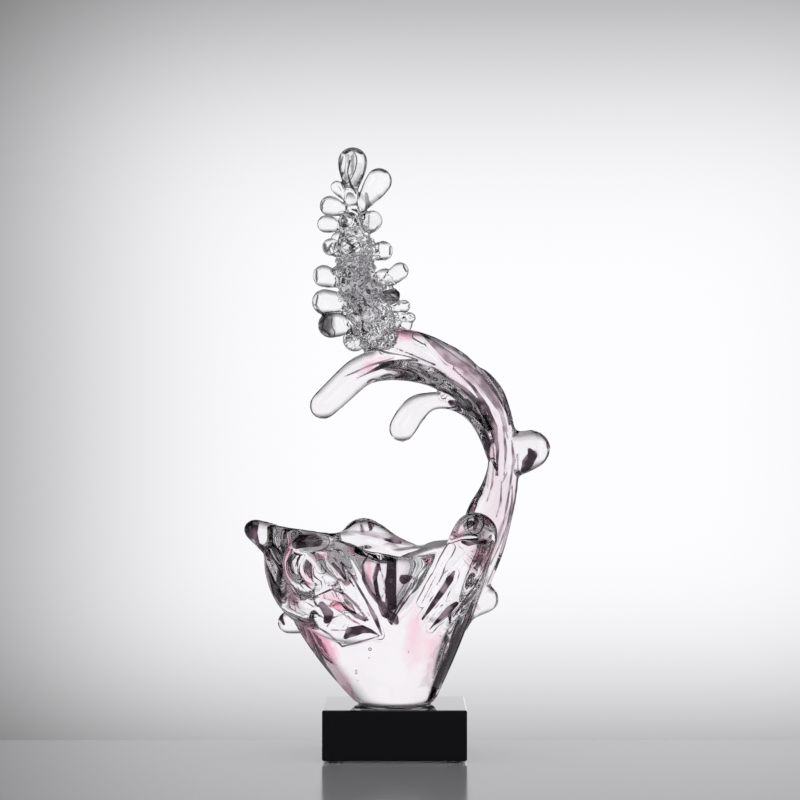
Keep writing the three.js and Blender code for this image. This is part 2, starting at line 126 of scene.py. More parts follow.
def evenly(curve: np.ndarray, step: float) -> np.ndarray:
    """Resamples a curve so that its samples lie evenly along its length.

    Args:
        curve: Samples whose first three columns are a place.
        step: The distance wanted between samples.

    Returns:
        The resampled rows.
    """
    along = np.concatenate([[0], np.cumsum(np.linalg.norm(np.diff(curve[:, :3], axis=0), axis=1))])
    wanted = np.linspace(0, along[-1], max(6, int(along[-1] / step)))
    return np.column_stack([np.interp(wanted, along, column) for column in curve.T])


@dataclass
class Draw:
    """The way a gather's glass was drawn out: a frame for each of its rings, in millimetres above the foot.

    The flutes' lines of painted shade run along a gather. A place on its surface is told by how far along it
    lies, and by where it lies across the gather's section.
    """

    centres: np.ndarray
    tangents: np.ndarray
    sides: np.ndarray
    fronts: np.ndarray
    halves: np.ndarray
    along: np.ndarray
    lines: float = 0.5
    radial: bool = False
    offset: float = 0.0

    def at(self, place: np.ndarray, ring: np.ndarray) -> np.ndarray:
        """Places told along and across the gather.

        Args:
            place: Places on its surface.
            ring: The nearest ring to each place.

        Returns:
            How far along each place lies, and where it lies across, in one row for each.
        """
        if self.radial:
            reach = np.maximum(np.linalg.norm(place[:, :2], axis=1), 1.0)[:, None]
            return np.column_stack([place[:, 2], 40 * place[:, :2] / reach])
        off = place - self.centres[ring]
        along = self.along[ring] + np.einsum("ij,ij->i", off, self.tangents[ring]) + self.offset
        across = np.einsum("ij,ij->i", off, self.sides[ring]) / self.halves[ring] * DRAWN_HALF
        front = np.einsum("ij,ij->i", off, self.fronts[ring]) / self.halves[ring] * DRAWN_HALF
        return np.column_stack([along, across + self.offset, front])


def frames(curve: np.ndarray, face: Sequence[float], lines: float) -> Draw:
    """Frames along a curve.

    Args:
        curve: Rows of x, y, z, half width and half thickness.
        face: The way the thickness points.
        lines: How strongly the flutes' lines of painted shade, and their relief, show in the glass.

    Returns:
        The frames of a gather along that curve.
    """
    path = curve[:, :3]
    tangent = np.gradient(path, axis=0)
    tangent /= np.linalg.norm(tangent, axis=1)[:, None]
    along = np.concatenate([[0], np.cumsum(np.linalg.norm(np.diff(path, axis=0), axis=1))])
    outward = np.asarray(face, float)[None, :] - (tangent @ np.asarray(face, float))[:, None] * tangent
    outward /= np.linalg.norm(outward, axis=1)[:, None]
    side = np.cross(tangent, outward)
    halves = np.maximum(np.maximum(curve[:, 3], curve[:, 4]), 1.0)
    offset = float(path[0].sum() * 7 % 100)
    return Draw(path, tangent, side, outward, halves, along, lines, offset=offset)


def oval_rings(curve: np.ndarray, sides: int, draw: Draw, flat: float = 1.0) -> np.ndarray:
    """Oval rings round a curve, closing to rounded ends.

    Args:
        curve: Rows of x, y, z, half width and half thickness.
        sides: Points in each ring.
        draw: The curve's frames.
        flat: The power that shapes the section: an oval at 1, and flatter below it.

    Returns:
        An array of rings, points and coordinates.
    """
    swell = np.ones(len(curve))
    for distance, end in ((draw.along, curve[0]), (draw.along[-1] - draw.along, curve[-1])):
        near = np.clip(1 - distance / end[3], 0, 1)
        swell = np.minimum(swell, np.sqrt(np.maximum(1 - near**2, 0.02)))
    turn = np.linspace(0, 2 * math.pi, sides, endpoint=False)
    across, front = (np.sign(part) * np.abs(part) ** flat for part in (np.cos(turn), np.sin(turn)))
    half = curve[:, 3:5] * swell[:, None]
    return (
        draw.centres[:, None, :]
        + draw.sides[:, None, :] * (half[:, 0:1] * across)[:, :, None]
        + draw.fronts[:, None, :] * (half[:, 1:2] * front)[:, :, None]
    )


@dataclass(frozen=True)
class ShadeCord:
    """A cord of painted shade just under the skin, with thin cords of painted shade nested round it.

    Its spine is told by x, height and half width, and where the half width is nothing there are only thin
    cords. It lies in the front of the skin, or in the back.
    """

    spine: tuple[tuple[float, float, float], ...]
    reach: float
    spacing: float
    depth: float
    front: bool = True

    def off(self, skin: np.ndarray) -> tuple[np.ndarray, np.ndarray]:
        """Where a skin lies beside the cord.

        Args:
            skin: Places on the skin.

        Returns:
            How many thin cords away from its edge each place is, less than nothing inside it, and how dark
            it is there.
        """
        flat = skin[:, [0, 2]]
        spine = np.array(self.spine, float)
        distance = np.full(len(skin), np.inf)
        level = np.zeros(len(skin))
        for number, (start, end) in enumerate(zip(spine[:-1], spine[1:])):
            run = end[:2] - start[:2]
            length = np.linalg.norm(run)
            along = (flat - start[:2]) @ run / length**2
            share = np.clip(along, 0, 1)
            gap = np.linalg.norm(flat - start[:2] - share[:, None] * run, axis=1)
            near = gap < SHADE_CORD_LEVEL_REACH
            depths = skin[near, 1]
            surface = (depths.min() if self.front else depths.max()) if near.any() else 0.0
            before = np.maximum(-along, 0) * (number == 0)
            beyond = before + np.maximum(along - 1, 0) * (number == len(spine) - 2)
            gap = gap - start[2] - share * (end[2] - start[2]) + 0.6 * length * beyond
            closer = gap < distance
            distance[closer] = gap[closer]
            level[closer] = surface
        fade = np.clip((self.reach + 1.2 - distance) / (0.3 * self.reach + 0.8), 0, 1)
        depth = self.depth * fade * np.clip(2.2 - np.abs(skin[:, 1] - level) / SHADE_CORD_FADE, 0, 1)
        return distance / self.spacing, depth


@dataclass
class Gather:
    """A piece of hot glass: its mesh, the way it was drawn, and its points in each ring."""

    piece: bpy.types.Object
    draw: Draw
    sides: int


def loft(name: str, rings: np.ndarray) -> bpy.types.Object:
    """Draws a disc out ring by ring, and lays each ring in its place.

    Args:
        name: The piece's name.
        rings: Rings of points in millimetres above the foot.

    Returns:
        The closed piece.
    """
    count, sides, _ = rings.shape
    deselect()
    bpy.ops.mesh.primitive_circle_add(vertices=sides, radius=MM, fill_type="NGON")
    piece = bpy.context.object
    piece.name = name
    bpy.ops.object.mode_set(mode="EDIT")
    bpy.ops.mesh.select_all(action="SELECT")
    for _ in range(count - 1):
        bpy.ops.mesh.extrude_region_move(TRANSFORM_OT_translate={"value": (0, 0, MM)})
    bpy.ops.object.mode_set(mode="OBJECT")
    placed = (rings + np.array([0, 0, FOOT])) * MM
    piece.data.vertices.foreach_set("co", placed.reshape(-1))
    piece.data.update()
    bpy.ops.object.mode_set(mode="EDIT")
    bpy.ops.mesh.select_all(action="SELECT")
    bpy.ops.mesh.normals_make_consistent(inside=False)
    bpy.ops.object.mode_set(mode="OBJECT")
    return piece


def limb(
    name: str,
    points: Sequence[Station],
    sides: int = 20,
    step: float = 2.0,
    face: Sequence[float] = (0, -1, 0),
    lines: float = 0.05,
    flat: float = 1.0,
) -> Gather:
    """lines: How strongly the flutes' lines of painted shade, and their relief, show in it.
        flat: The power that shapes its section.

    Returns:
        The gather.
    """
    curve = evenly(through(np.array([point.row() for point in points]), 40 * len(points)), step)
    draw = frames(curve, face, lines)
    return Gather(loft(name, oval_rings(curve, sides, draw, flat)), draw, sides)


def places(piece: bpy.types.Object) -> np.ndarray:
    """A mesh's points, in millimetres above the foot."""
    flat = np.empty(3 * len(piece.data.vertices))
    piece.data.vertices.foreach_get("co", flat)
    return flat.reshape(-1, 3) / MM - np.array([0, 0, FOOT])


def fuse(
    name: str,
    gathers: Sequence[Gather],
    voxel: float,
    smoothing: int,
    shade_cords: Sequence[ShadeCord] = (),
    calm: Sequence["Zone"] = (),
) -> bpy.types.Object:
    """Melts gathers into one closed skin that keeps the way each was drawn.

    Args:
        name: The fused piece's name.
        gathers: The gathers that are melted together.
        voxel: Grain of the new skin, in millimetres.
        smoothing: Rounds of softening.
        shade_cords: The cords of painted shade under its skin.
        calm: The zones where the flutes' lines of painted shade, and their relief, fade out.

    Returns:
        The fused piece, with the attributes "drawn", "lines" and "shade_cords".
    """
    sources = [places(gather.piece) for gather in gathers]
    owners = np.repeat(np.arange(len(gathers)), [len(source) for source in sources])
    ring_numbers = [np.arange(len(source)) // gather.sides for source, gather in zip(sources, gathers)]
    rings = np.concatenate(ring_numbers)
    points = np.vstack(sources)
    tree = kdtree.KDTree(len(points))
    for number, point in enumerate(points):
        tree.insert(point, number)
    tree.balance()
    deselect()
    for gather in gathers:
        gather.piece.select_set(True)
    bpy.context.view_layer.objects.active = gathers[0].piece
    bpy.ops.object.join()
    piece = bpy.context.object
    piece.name = name
    piece.data.name = name
    remesh = piece.modifiers.new("melt", "REMESH")
    remesh.mode = "VOXEL"
    remesh.voxel_size = voxel * MM
    remesh.use_smooth_shade = True
    bpy.ops.object.modifier_apply(modifier=remesh.name)
    soften = piece.modifiers.new("soften", "SMOOTH")
    soften.factor = 0.5
    soften.iterations = smoothing
    bpy.ops.object.modifier_apply(modifier=soften.name)
    bpy.ops.object.shade_smooth()
    skin = places(piece)
    nearest = np.array([tree.find(point)[1] for point in skin])
    drawn = np.zeros_like(skin)
    runs = np.zeros_like(skin)
    lines = np.zeros(len(skin))
    for number, gather in enumerate(gathers):
        mine = owners[nearest] == number
        ring = np.minimum(rings[nearest[mine]], len(gather.draw.centres) - 1)
        drawn[mine] = gather.draw.at(skin[mine], ring)
        runs[mine] = gather.draw.tangents[ring]
        lines[mine] = gather.draw.lines
    piece.data.attributes.new("drawn", "FLOAT_VECTOR", "POINT").data.foreach_set("vector", drawn.reshape(-1))
    piece.data.attributes.new("lines", "FLOAT", "POINT").data.foreach_set("value", lines)
    ends = np.empty(2 * len(piece.data.edges), dtype=np.int32)
    piece.data.edges.foreach_get("vertices", ends)
    one, other = ends.reshape(-1, 2).T
    alignment = np.einsum("ij,ij->i", runs[one], runs[other])
    joint = (owners[nearest[one]] != owners[nearest[other]]) & (alignment < JOINT_ALIGNMENT)
    fade = np.ones(len(skin))
    for _ in range(JOINT_FADES):
        fade[one[joint]] = fade[other[joint]] = 0.0
        total, count = np.zeros(len(skin)), np.zeros(len(skin))
        for here, there in ((one, other), (other, one)):
            np.add.at(total, here, fade[there])
            np.add.at(count, here, 1)
        fade = (fade + total / count) / 2
    piece.data.attributes["lines"].data.foreach_set("value", lines * fade * (1 - within(skin, calm)))
    # painted shade from the cords: how many thin cords away each point lies, and how dark it is there
    nested = np.zeros((len(skin), 3))
    nested[:, 0] = 9.0
    for shade_cord in shade_cords:
        steps, depth = shade_cord.off(skin)
        nested[:, 0] = np.where(depth > 0, np.minimum(nested[:, 0], steps), nested[:, 0])
        nested[:, 1] = np.maximum(nested[:, 1], depth)
    piece.data.attributes.new("shade_cords", "FLOAT_VECTOR", "POINT").data.foreach_set("vector", nested.reshape(-1))
    return piece


def within(skin: np.ndarray, zones: Sequence["Zone"]) -> np.ndarray:
    """How far each point of a skin lies within oval zones, from 0 to 1."""
    weight = np.zeros(len(skin))
    for zone in zones:
        off = (skin - np.array([zone.x, zone.y, zone.z])) / np.array([zone.wide, zone.deep, zone.tall])
        weight = np.maximum(weight, zone.strength * np.clip(1.6 - 1.3 * np.linalg.norm(off, axis=1), 0, 1))
    return weight


def wrinkle(piece: bpy.types.Object, zones: Sequence["Zone"], grain: float, depth: float) -> None:
    """Works flowing folds into parts of a skin.

    Args:
        piece: The skin.
        zones: The oval zones where it is worked.
        grain: The folds' size, in millimetres.
        depth: The folds' height, in millimetres.
    """
    weight = within(places(piece), zones)
    group = piece.vertex_groups.new(name="worked")
    for level in range(1, 11):
        chosen = np.flatnonzero(np.round(weight * 10) == level)
        group.add(chosen.tolist(), level / 10, "REPLACE")
    texture = bpy.data.textures.new(f"{piece.name}_folds", "DISTORTED_NOISE")
    texture.noise_scale = grain * MM
    texture.distortion = FOLD_DISTORTION
    folds = piece.modifiers.new("folds", "DISPLACE")
    folds.texture = texture
    folds.texture_coords = "LOCAL"
    folds.vertex_group = "worked"
    folds.strength = depth * MM
    folds.mid_level = 0.5
    bpy.context.view_layer.objects.active = piece
    bpy.ops.object.modifier_apply(modifier=folds.name)
    polish = piece.modifiers.new("polish", "SMOOTH")
    polish.factor = POLISH
    polish.iterations = POLISH_ROUNDS
    polish.vertex_group = "worked"
    bpy.ops.object.modifier_apply(modifier=polish.name)
    piece.vertex_groups.clear()


@dataclass(frozen=True)
class Zone:
    """An oval zone of a skin, with how strongly it is worked."""

    x: float
    y: float
    z: float
    wide: float
    deep: float
    tall: float
    strength: float


# Shader helpers


class Value:
    """A shader socket that Python's operators can be used on."""

    def __init__(self, book: "NodeBook", socket: bpy.types.NodeSocket) -> None:
        """Keeps the socket and the material's book of nodes."""
        self.book = book
        self.socket = socket

    def _maths(self, operation: str, *inputs: "Value | float") -> "Value":
        """Adds a Math node."""
        return self.book.node("ShaderNodeMath", {"operation": operation}, dict(enumerate(inputs)))

    def __add__(self, other: "Value | float") -> "Value":
        """Sum."""
        return self._maths("ADD", self, other)

    __radd__ = __add__

    def __sub__(self, other: "Value | float") -> "Value":
        """Difference."""
        return self._maths("SUBTRACT", self, other)

    def __rsub__(self, other: "Value | float") -> "Value":
        """Difference from a number."""
        return self._maths("SUBTRACT", other, self)

    def __mul__(self, other: "Value | float") -> "Value":
        """Product."""
        return self._maths("MULTIPLY", self, other)

    __rmul__ = __mul__

    def __truediv__(self, other: "Value | float") -> "Value":
        """Quotient."""
        return self._maths("DIVIDE", self, other)

    def __rtruediv__(self, other: "Value | float") -> "Value":
        """A number divided by this value."""
        return self._maths("DIVIDE", other, self)

    def __pow__(self, other: "Value | float") -> "Value":
        """Power."""
        return self._maths("POWER", self, other)

    def __abs__(self) -> "Value":
        """Size without its sign."""
        return self._maths("ABSOLUTE", self)

    def most(self, other: "Value | float") -> "Value":
        """The larger of two values."""
        return self._maths("MAXIMUM", self, other)

    def least(self, other: "Value | float") -> "Value":
        """The smaller of two values."""
        return self._maths("MINIMUM", self, other)

    def ease(self, low: float, high: float, start: float = 0.0, end: float = 1.0) -> "Value":
        """Runs smoothly from start to end as the value goes from low to high."""
        return self.book.node(
            "ShaderNodeMapRange",
            {"interpolation_type": "SMOOTHSTEP", "clamp": True},
            {"Value": self, "From Min": low, "From Max": high, "To Min": start, "To Max": end},
        )


class NodeBook:
    """The nodes of one material or world."""

    def __init__(self, tree: bpy.types.NodeTree) -> None:
        """Clears the tree."""
        self.tree = tree
        tree.nodes.clear()

    def node(
        self,
        kind: str,
        settings: dict[str, object] | None = None,
        inputs: dict[str | int, object] | None = None,
        output: str | int = 0,
    ) -> Value:
        """Adds a node.

        Args:
            kind: The node's type.
            settings: Its own settings, set first.
            inputs: Numbers, colours or values for its sockets, by name or number.
            output: The socket that is returned.

        Returns:
            The node's output as a value.
        """
        made = self.tree.nodes.new(kind)
        for key, setting in (settings or {}).items():
            if key == "stops":
                self._stops(made.color_ramp, setting)
            else:
                setattr(made, key, setting)
        for key, given in (inputs or {}).items():
            socket = made.inputs[key]
            if isinstance(given, Value):
                self.tree.links.new(given.socket, socket)
            else:
                socket.default_value = given
        return Value(self, made.outputs[output] if len(made.outputs) else None)

    @staticmethod
    def _stops(ramp: bpy.types.ColorRamp, stops: Sequence[tuple[float, Sequence[float]]]) -> None:
        """Sets a ramp's stops."""
        while len(ramp.elements) < len(stops):
            ramp.elements.new(0.5)
        for element, (place, colour) in zip(ramp.elements, stops):
            element.position = place
            element.color = (*colour, 1.0)

    def mix(self, factor: "Value | float", first: object, second: object) -> Value:
        """Mixes two colours."""
        return self.node(
            "ShaderNodeMix",
            {"data_type": "RGBA", "clamp_factor": True},
            {0: factor, 6: first, 7: second},
            output=2,
        )

    def place(self) -> Value:
        """The place on the object, in metres."""
        return self.node("ShaderNodeTexCoord", output="Object")

    def parts(self, vector: Value) -> tuple[Value, Value, Value]:
        """The three parts of a vector."""
        split = self.node("ShaderNodeSeparateXYZ", {}, {0: vector})
        outputs = split.socket.node.outputs
        return tuple(Value(self, outputs[k]) for k in range(3))


def colour(red: float, green: float, blue: float) -> tuple[float, float, float, float]:
    """A colour with full alpha."""
    return (red, green, blue, 1.0)


# Finishes


@dataclass(frozen=True)
class Veil:
    """A veil of colour inside the glass: an oval region, with how deep its colour is."""

    x: float
    y: float
    z: float
    wide: float
    deep: float
    tall: float
    lean: float
    strength: float

    def local(self, book: "NodeBook", place: "Value") -> "Value":
        """A place seen from the oval's middle, in shares of its size."""
        return book.node(
            "ShaderNodeMapping",
            {"vector_type": "TEXTURE"},
            {
                "Vector": place,
                "Location": (self.x * MM, self.y * MM, (self.z + FOOT) * MM),
                "Rotation": (0.0, math.radians(self.lean), 0.0),
                "Scale": (self.wide * MM, self.deep * MM, self.tall * MM),
            },
        )


@dataclass(frozen=True)
class Sight:
    """An upright plane across the glass, as the photograph shows it.

    It turns a place read off the photograph, in pixels across and down, into one on the plane.
    """

    y: float

    @property
    def scale(self) -> float:
        """Millimetres in a pixel on this plane."""
        return (CAMERA_DISTANCE + self.y) / FOCAL

    def spot(self, across: float, down: float) -> tuple[float, float]:
        """The X and height on this plane that show at a place in the photograph."""
        middle = FRAME_SIDE / 2
        return CAMERA_X + (across - middle) * self.scale, CAMERA_RISE - (down - middle) * self.scale

    def shade_cord(
        self,
        *marks: tuple[float, float, float],
        reach: float = 0.0,
        spacing: float = 3.0,
        depth: float = 0.85,
        front: bool = True,
    ) -> ShadeCord:
        """A cord of painted shade read off the photograph.

        Args:
            marks: Places along it and its half width there, in pixels.
            reach: How far its thin cords reach, in millimetres.
            spacing: The distance between thin cords, in millimetres.
            depth: How dark it is, from 0 to 1.
            front: Whether it lies in the front of the skin.

        Returns:
            The cord, in millimetres.
        """
        spine = tuple((*self.spot(across, down), half * self.scale) for across, down, half in marks)
        return ShadeCord(spine, reach, spacing, depth, front)

    def veil(
        self, across: float, down: float, wide: float, tall: float, lean: float, deep: float, strength: float
    ) -> Veil:
        """A veil read off the photograph.

        Args:
            across: The place of its middle, in pixels.
            down: The same, downwards.
            wide: Its half width, in pixels.
            tall: Its half height, in pixels.
            lean: How far it leans, in degrees.
            deep: Its half depth, in millimetres.
            strength: How deep its colour is.

        Returns:
            The veil, in millimetres.
        """
        x, z = self.spot(across, down)
        return Veil(x, self.y, z, wide * self.scale, deep, tall * self.scale, lean, strength)


VESSEL_SIGHT = Sight(-48)
WAVE_SIGHT = Sight(-13)
BACK_SIGHT = Sight(63)
# Cords of painted shade in the body: dark fills and thin dark lines in the glass's colour, at its folds,
# edges and hollows.
SHADE_CORDS = {
    "left tip": VESSEL_SIGHT.shade_cord(
        (253, 524, 4), (252, 534, 3.5), (256, 548, 2), (263, 556, 1.5), depth=0.8,
    ),
    "left tip's top": VESSEL_SIGHT.shade_cord((253, 521, 2), (262, 519, 1.5), (268, 521, 0.5), depth=0.7),
    "window's edge": VESSEL_SIGHT.shade_cord(
        (264, 521, 0.8), (275, 531, 0.8), (285, 545, 1.2), (276, 549, 0.6), depth=0.7,
    ),
    "notch": VESSEL_SIGHT.shade_cord((258, 547, 1.5), (266, 555, 3.5), (272, 561, 1.5), depth=0.85),
    "pill": VESSEL_SIGHT.shade_cord(
        (295, 545, 4.5), (302, 541, 7), (314, 540, 6.5), (320, 541, 5), reach=5, spacing=4.6, depth=0.95,
    ),
    "pill's end": VESSEL_SIGHT.shade_cord((322, 541, 0), (326, 541, 0), reach=7, spacing=5.5, depth=0.7),
    "crescent": VESSEL_SIGHT.shade_cord((292, 549, 1), (289.5, 560, 2.8), (293, 573, 1.5), depth=0.7),
    "shell": VESSEL_SIGHT.shade_cord(
        (312, 557, 0), (306, 567, 0), (309, 579, 0), (318, 586, 0), reach=11, spacing=4, depth=0.9,
    ),
    "curl": VESSEL_SIGHT.shade_cord((321, 562, 0.5), (322, 571, 0.8), reach=5, spacing=3.2, depth=0.9),
    "left fold": VESSEL_SIGHT.shade_cord(
        (271, 545, 1.5), (278, 556, 3.5), (279.6, 573, 3.2), (277, 589, 2.8), (281, 600, 1), reach=4,
        spacing=4.5, depth=0.85,
    ),
    "left edge": VESSEL_SIGHT.shade_cord(
        (265, 567, 1), (271, 581, 2.5), (275, 596, 3.5), (280, 607, 2), spacing=4, depth=0.85,
    ),
    "low loop": VESSEL_SIGHT.shade_cord((288, 588, 0), (297, 600, 0), reach=7, spacing=3.4, depth=0.9),
    "fold's shade": VESSEL_SIGHT.shade_cord((321, 603, 3.5), (329, 613, 5), (326, 621, 2.5), reach=2, depth=0.9),
    "ripples": VESSEL_SIGHT.shade_cord(
        (300, 604, 0), (311, 611, 0), (318, 612, 0), reach=8, spacing=3.4, depth=0.7,
    ),
    "facet": VESSEL_SIGHT.shade_cord((327, 626, 0.6), (333, 617, 0.6), (349, 611, 0.8), depth=0.8),
    "facet's side": VESSEL_SIGHT.shade_cord((331, 629, 0.6), (346, 629, 0.6), (352, 618, 0.6), depth=0.7),
    "droplet": VESSEL_SIGHT.shade_cord(
        (345, 637, 2), (351, 631, 5.5), (362, 628, 4.5), (371, 630, 2.5), (379, 634, 1), reach=3,
        spacing=3.2, depth=0.95,
    ),
    "fold's edge": VESSEL_SIGHT.shade_cord(
        (297, 620, 0.8), (315, 625, 0.8), (330, 634, 1), (342, 647, 1.4), (355, 643, 1.4),
        (380, 635, 0.8), depth=0.75,
    ),
    "leaf's edge": VESSEL_SIGHT.shade_cord(
        (313, 597, 0.6), (331, 589, 1), (345, 592, 1.2), (357, 604, 1.5), (368, 619, 1), depth=0.85,
    ),
    "leaf": VESSEL_SIGHT.shade_cord(
        (332, 584, 0.6), (337, 596, 0.8), (345, 606, 1), (357, 614, 3), (366, 619, 1.5), reach=3,
        depth=0.9,
    ),
    "ridge": VESSEL_SIGHT.shade_cord(
        (331, 560, 0), (352, 590, 0), (372, 622, 0), (381, 636, 0), reach=6, spacing=3.4, depth=0.9,
    ),
    "ridge's root": VESSEL_SIGHT.shade_cord((333, 562, 1.5), (338, 568, 2.5), (346, 578, 1), depth=0.85),
    "ridge's line": VESSEL_SIGHT.shade_cord(
        (337, 554, 0.6), (352, 574, 1), (366, 598, 1.4), (376, 618, 2.2), (382, 634, 1.2), depth=0.8,
    ),
    "lens": VESSEL_SIGHT.shade_cord(
        (369, 553, 0.8), (362.6, 564, 1.6), (364, 578, 1.8), (370, 591, 2), (378, 600, 2.5),
        (385, 604, 2), depth=0.85,
    ),
    "lens's heart": VESSEL_SIGHT.shade_cord(
        (379, 563, 1.5), (375, 577, 2.2), (377, 590, 2.2), (381, 600, 1), depth=0.9,
    ),
    "lens's side": VESSEL_SIGHT.shade_cord(
        (380, 565, 0.6), (384, 580, 0.8), (384, 592, 0.8), (380, 601, 0.6), depth=0.8,
    ),
    "bar": VESSEL_SIGHT.shade_cord((392, 559, 4.5), (391, 582, 5.8), (391, 606, 6), depth=0.97),
    "point": VESSEL_SIGHT.shade_cord((379, 602, 2), (386, 612, 5), (394, 617, 4.5), (397, 623, 2), depth=0.95),
    "wedge": VESSEL_SIGHT.shade_cord((402.5, 579, 5.3), (407, 577.5, 3.9), (412.5, 576, 1.2), depth=0.8),
    "wedge's foot": VESSEL_SIGHT.shade_cord((401.5, 593, 2.2), (406, 589, 1.9), depth=0.35),
    "pleat one": VESSEL_SIGHT.shade_cord(
        (454, 570, 1.5), (450, 578, 3.5), (443, 589, 3.5), (433, 603, 2.2), (422, 619, 0.8), reach=3.5,
        spacing=3.2, depth=0.92,
    ),
    "pleat two": VESSEL_SIGHT.shade_cord(
        (457, 602, 2), (449, 609, 4), (440, 618, 2.5), (429, 630, 0.8), reach=3, depth=0.92,
    ),
    "pleat three": VESSEL_SIGHT.shade_cord((449, 609, 2.5), (450, 617, 2), (450, 625, 0.6), depth=0.9),
    "pleat four": VESSEL_SIGHT.shade_cord(
        (481, 584, 3.5), (472, 592, 3.5), (462, 605, 2), (453, 618, 0.8), reach=3, spacing=3.2, depth=0.9,
    ),
    "pleat's curl": VESSEL_SIGHT.shade_cord((444, 594, 0), (441, 601, 0), reach=5, depth=0.8),
    "lobe's left": VESSEL_SIGHT.shade_cord(
        (452, 545, 0.5), (440, 566, 0.6), (429, 588, 0.7), (421, 604, 0.5), reach=5, spacing=3.2,
        depth=0.75,
    ),
    "lobe's line": VESSEL_SIGHT.shade_cord((466, 550, 0.5), (452, 565, 0.5), (440, 590, 0.4), depth=0.6),
    "lobe's loop": VESSEL_SIGHT.shade_cord(
        (476, 515, 1.5), (475.5, 522, 3), (474, 529, 1.5), reach=8, spacing=3.4, depth=0.92,
    ),
    "lobe's bar": VESSEL_SIGHT.shade_cord(
        (461, 541, 1.5), (468, 543, 2.6), (477, 542, 1.6), (486, 541.5, 1.8), reach=3.5, spacing=3.4,
        depth=0.95,
    ),
    "lobe's point": VESSEL_SIGHT.shade_cord(
        (466, 553, 0.5), (474, 561, 0.8), (481, 551, 0.5), reach=5, spacing=3.4, depth=0.7,
    ),
    "lobe's rim": VESSEL_SIGHT.shade_cord(
        (486, 514, 1), (495, 521, 2.4), (499, 532, 3), (499, 545, 2.4), (494, 558, 1), depth=0.85,
    ),
    "lobe's side": VESSEL_SIGHT.shade_cord((489, 556, 0.8), (482, 572, 1), (474, 586, 1), depth=0.7),
    "cone's edge": ShadeCord(
        ((67, 77, 3), (60, 65, 5), (52, 53.5, 5), (41, 30, 4), (33, 12, 3), (29.5, 2, 2)), 0, 3, 0.8
    ),
    "cone's streak": ShadeCord(((44, 66, 1), (36, 40, 2), (28, 15, 1)), 0, 3, 0.12),
    "left knob": VESSEL_SIGHT.shade_cord((279, 617, 1.5), (277.5, 624, 2.5), (281, 631, 1), depth=0.85),
    "right knob": VESSEL_SIGHT.shade_cord((477, 608, 2), (481, 614, 2), depth=0.85),
    "rim": VESSEL_SIGHT.shade_cord(
        (262, 521, 0.5), (290, 526, 0.6), (330, 533, 0.8), (366, 546, 0.8), (400, 555, 0.8),
        (428, 548, 0.6), (450, 528, 0.5), depth=0.75,
    ),
    "crest's shade": WAVE_SIGHT.shade_cord(
        (420, 332, 1.5), (435, 345, 3.5), (450, 358, 5.5), (464, 366, 4.5), (479, 378, 5.5),
        (491, 394, 5), (501, 411, 3), (507, 432, 1.5), reach=3, spacing=3.2, depth=0.62,
    ),
    "crest's inner line": WAVE_SIGHT.shade_cord(
        (430, 366, 0.8), (447, 377, 1.5), (464, 389, 2.6), (480, 405, 3), (490, 425, 2.5),
        (497, 446, 1.8), depth=0.85,
    ),
    "crest's rim": WAVE_SIGHT.shade_cord(
        (483, 368, 1.2), (495, 382, 1.5), (504, 400, 1.5), (510, 425, 1), depth=0.8,
    ),
    "crest's loop": WAVE_SIGHT.shade_cord((416, 334, 0), (425, 341, 0), reach=7, spacing=3.4, depth=0.9),
    "crest's line": WAVE_SIGHT.shade_cord((374, 340, 0.5), (405, 352, 0.7), (435, 365, 1), depth=0.85),
    "curl under the crest": WAVE_SIGHT.shade_cord(
        (441, 397, 0.8), (447, 392, 0.8), (453, 396, 0.8), reach=4, depth=0.85,
    ),
    "inner lens": WAVE_SIGHT.shade_cord((448, 402, 1), (458, 404, 2.6), (470, 411, 1.2), reach=2, depth=0.85),
    "trunk's line": WAVE_SIGHT.shade_cord(
        (455, 391, 1.1), (470, 405, 1.8), (481, 420, 2.5), (488, 440, 2.2), (489, 462, 1.4), depth=0.75,
    ),
    "trunk's long line": WAVE_SIGHT.shade_cord(
        (452.5, 368, 0.9), (473, 387, 1.6), (487, 407.5, 2.2), (495.5, 426.5, 2.2), (498, 450.5, 1.9),
        (497, 476.5, 1.6), (489.5, 513, 0.9), depth=0.8,
    ),
    "trunk's inner edge": WAVE_SIGHT.shade_cord(
        (475.5, 423, 0.5), (484, 437, 1.6), (486.5, 454, 1.9), (485, 473, 1.6), (478.5, 494, 1.6),
        (467, 513, 1), depth=0.6,
    ),
    "trunk's short line": WAVE_SIGHT.shade_cord(
        (503.5, 426.5, 1.2), (506, 450.5, 1.6), (504.5, 476.5, 0.9), depth=0.7,
    ),
    "trunk's second line": WAVE_SIGHT.shade_cord(
        (512, 440.5, 0.9), (514, 461, 1.6), (511, 481.5, 1.2), (508, 502.5, 1.2), (503.5, 525, 0.9),
        depth=0.7,
    ),
    "trunk's third line": WAVE_SIGHT.shade_cord(
        (502, 481.5, 0.9), (501, 502.5, 1.2), (496.5, 518, 0.9), depth=0.7,
    ),
    "trunk's outer line": WAVE_SIGHT.shade_cord(
        (517.5, 454, 0.9), (518.5, 476.5, 1.2), (516.5, 502.5, 1.2), (513, 525, 1.2), (506, 547, 1.2),
        (496.5, 571.5, 0.9), depth=0.7,
    ),
    "trunk's last line": WAVE_SIGHT.shade_cord(
        (513, 485, 0.6), (512.5, 504, 1.2), (508, 525, 1.2), (500.5, 545.5, 1.2), (490.5, 566, 0.9),
        (481.5, 578.5, 0.6), depth=0.75,
    ),
    "trunk's fold": WAVE_SIGHT.shade_cord(
        (493, 437, 0.6), (494, 461, 1.2), (492.5, 485, 1.2), (487, 502.5, 0.9), depth=0.6,
    ),
    "drip's mark": WAVE_SIGHT.shade_cord(
        (344, 377, 0.4), (358, 371, 1.2), (369, 366, 1.2), (394, 358, 0.8), depth=0.75,
    ),
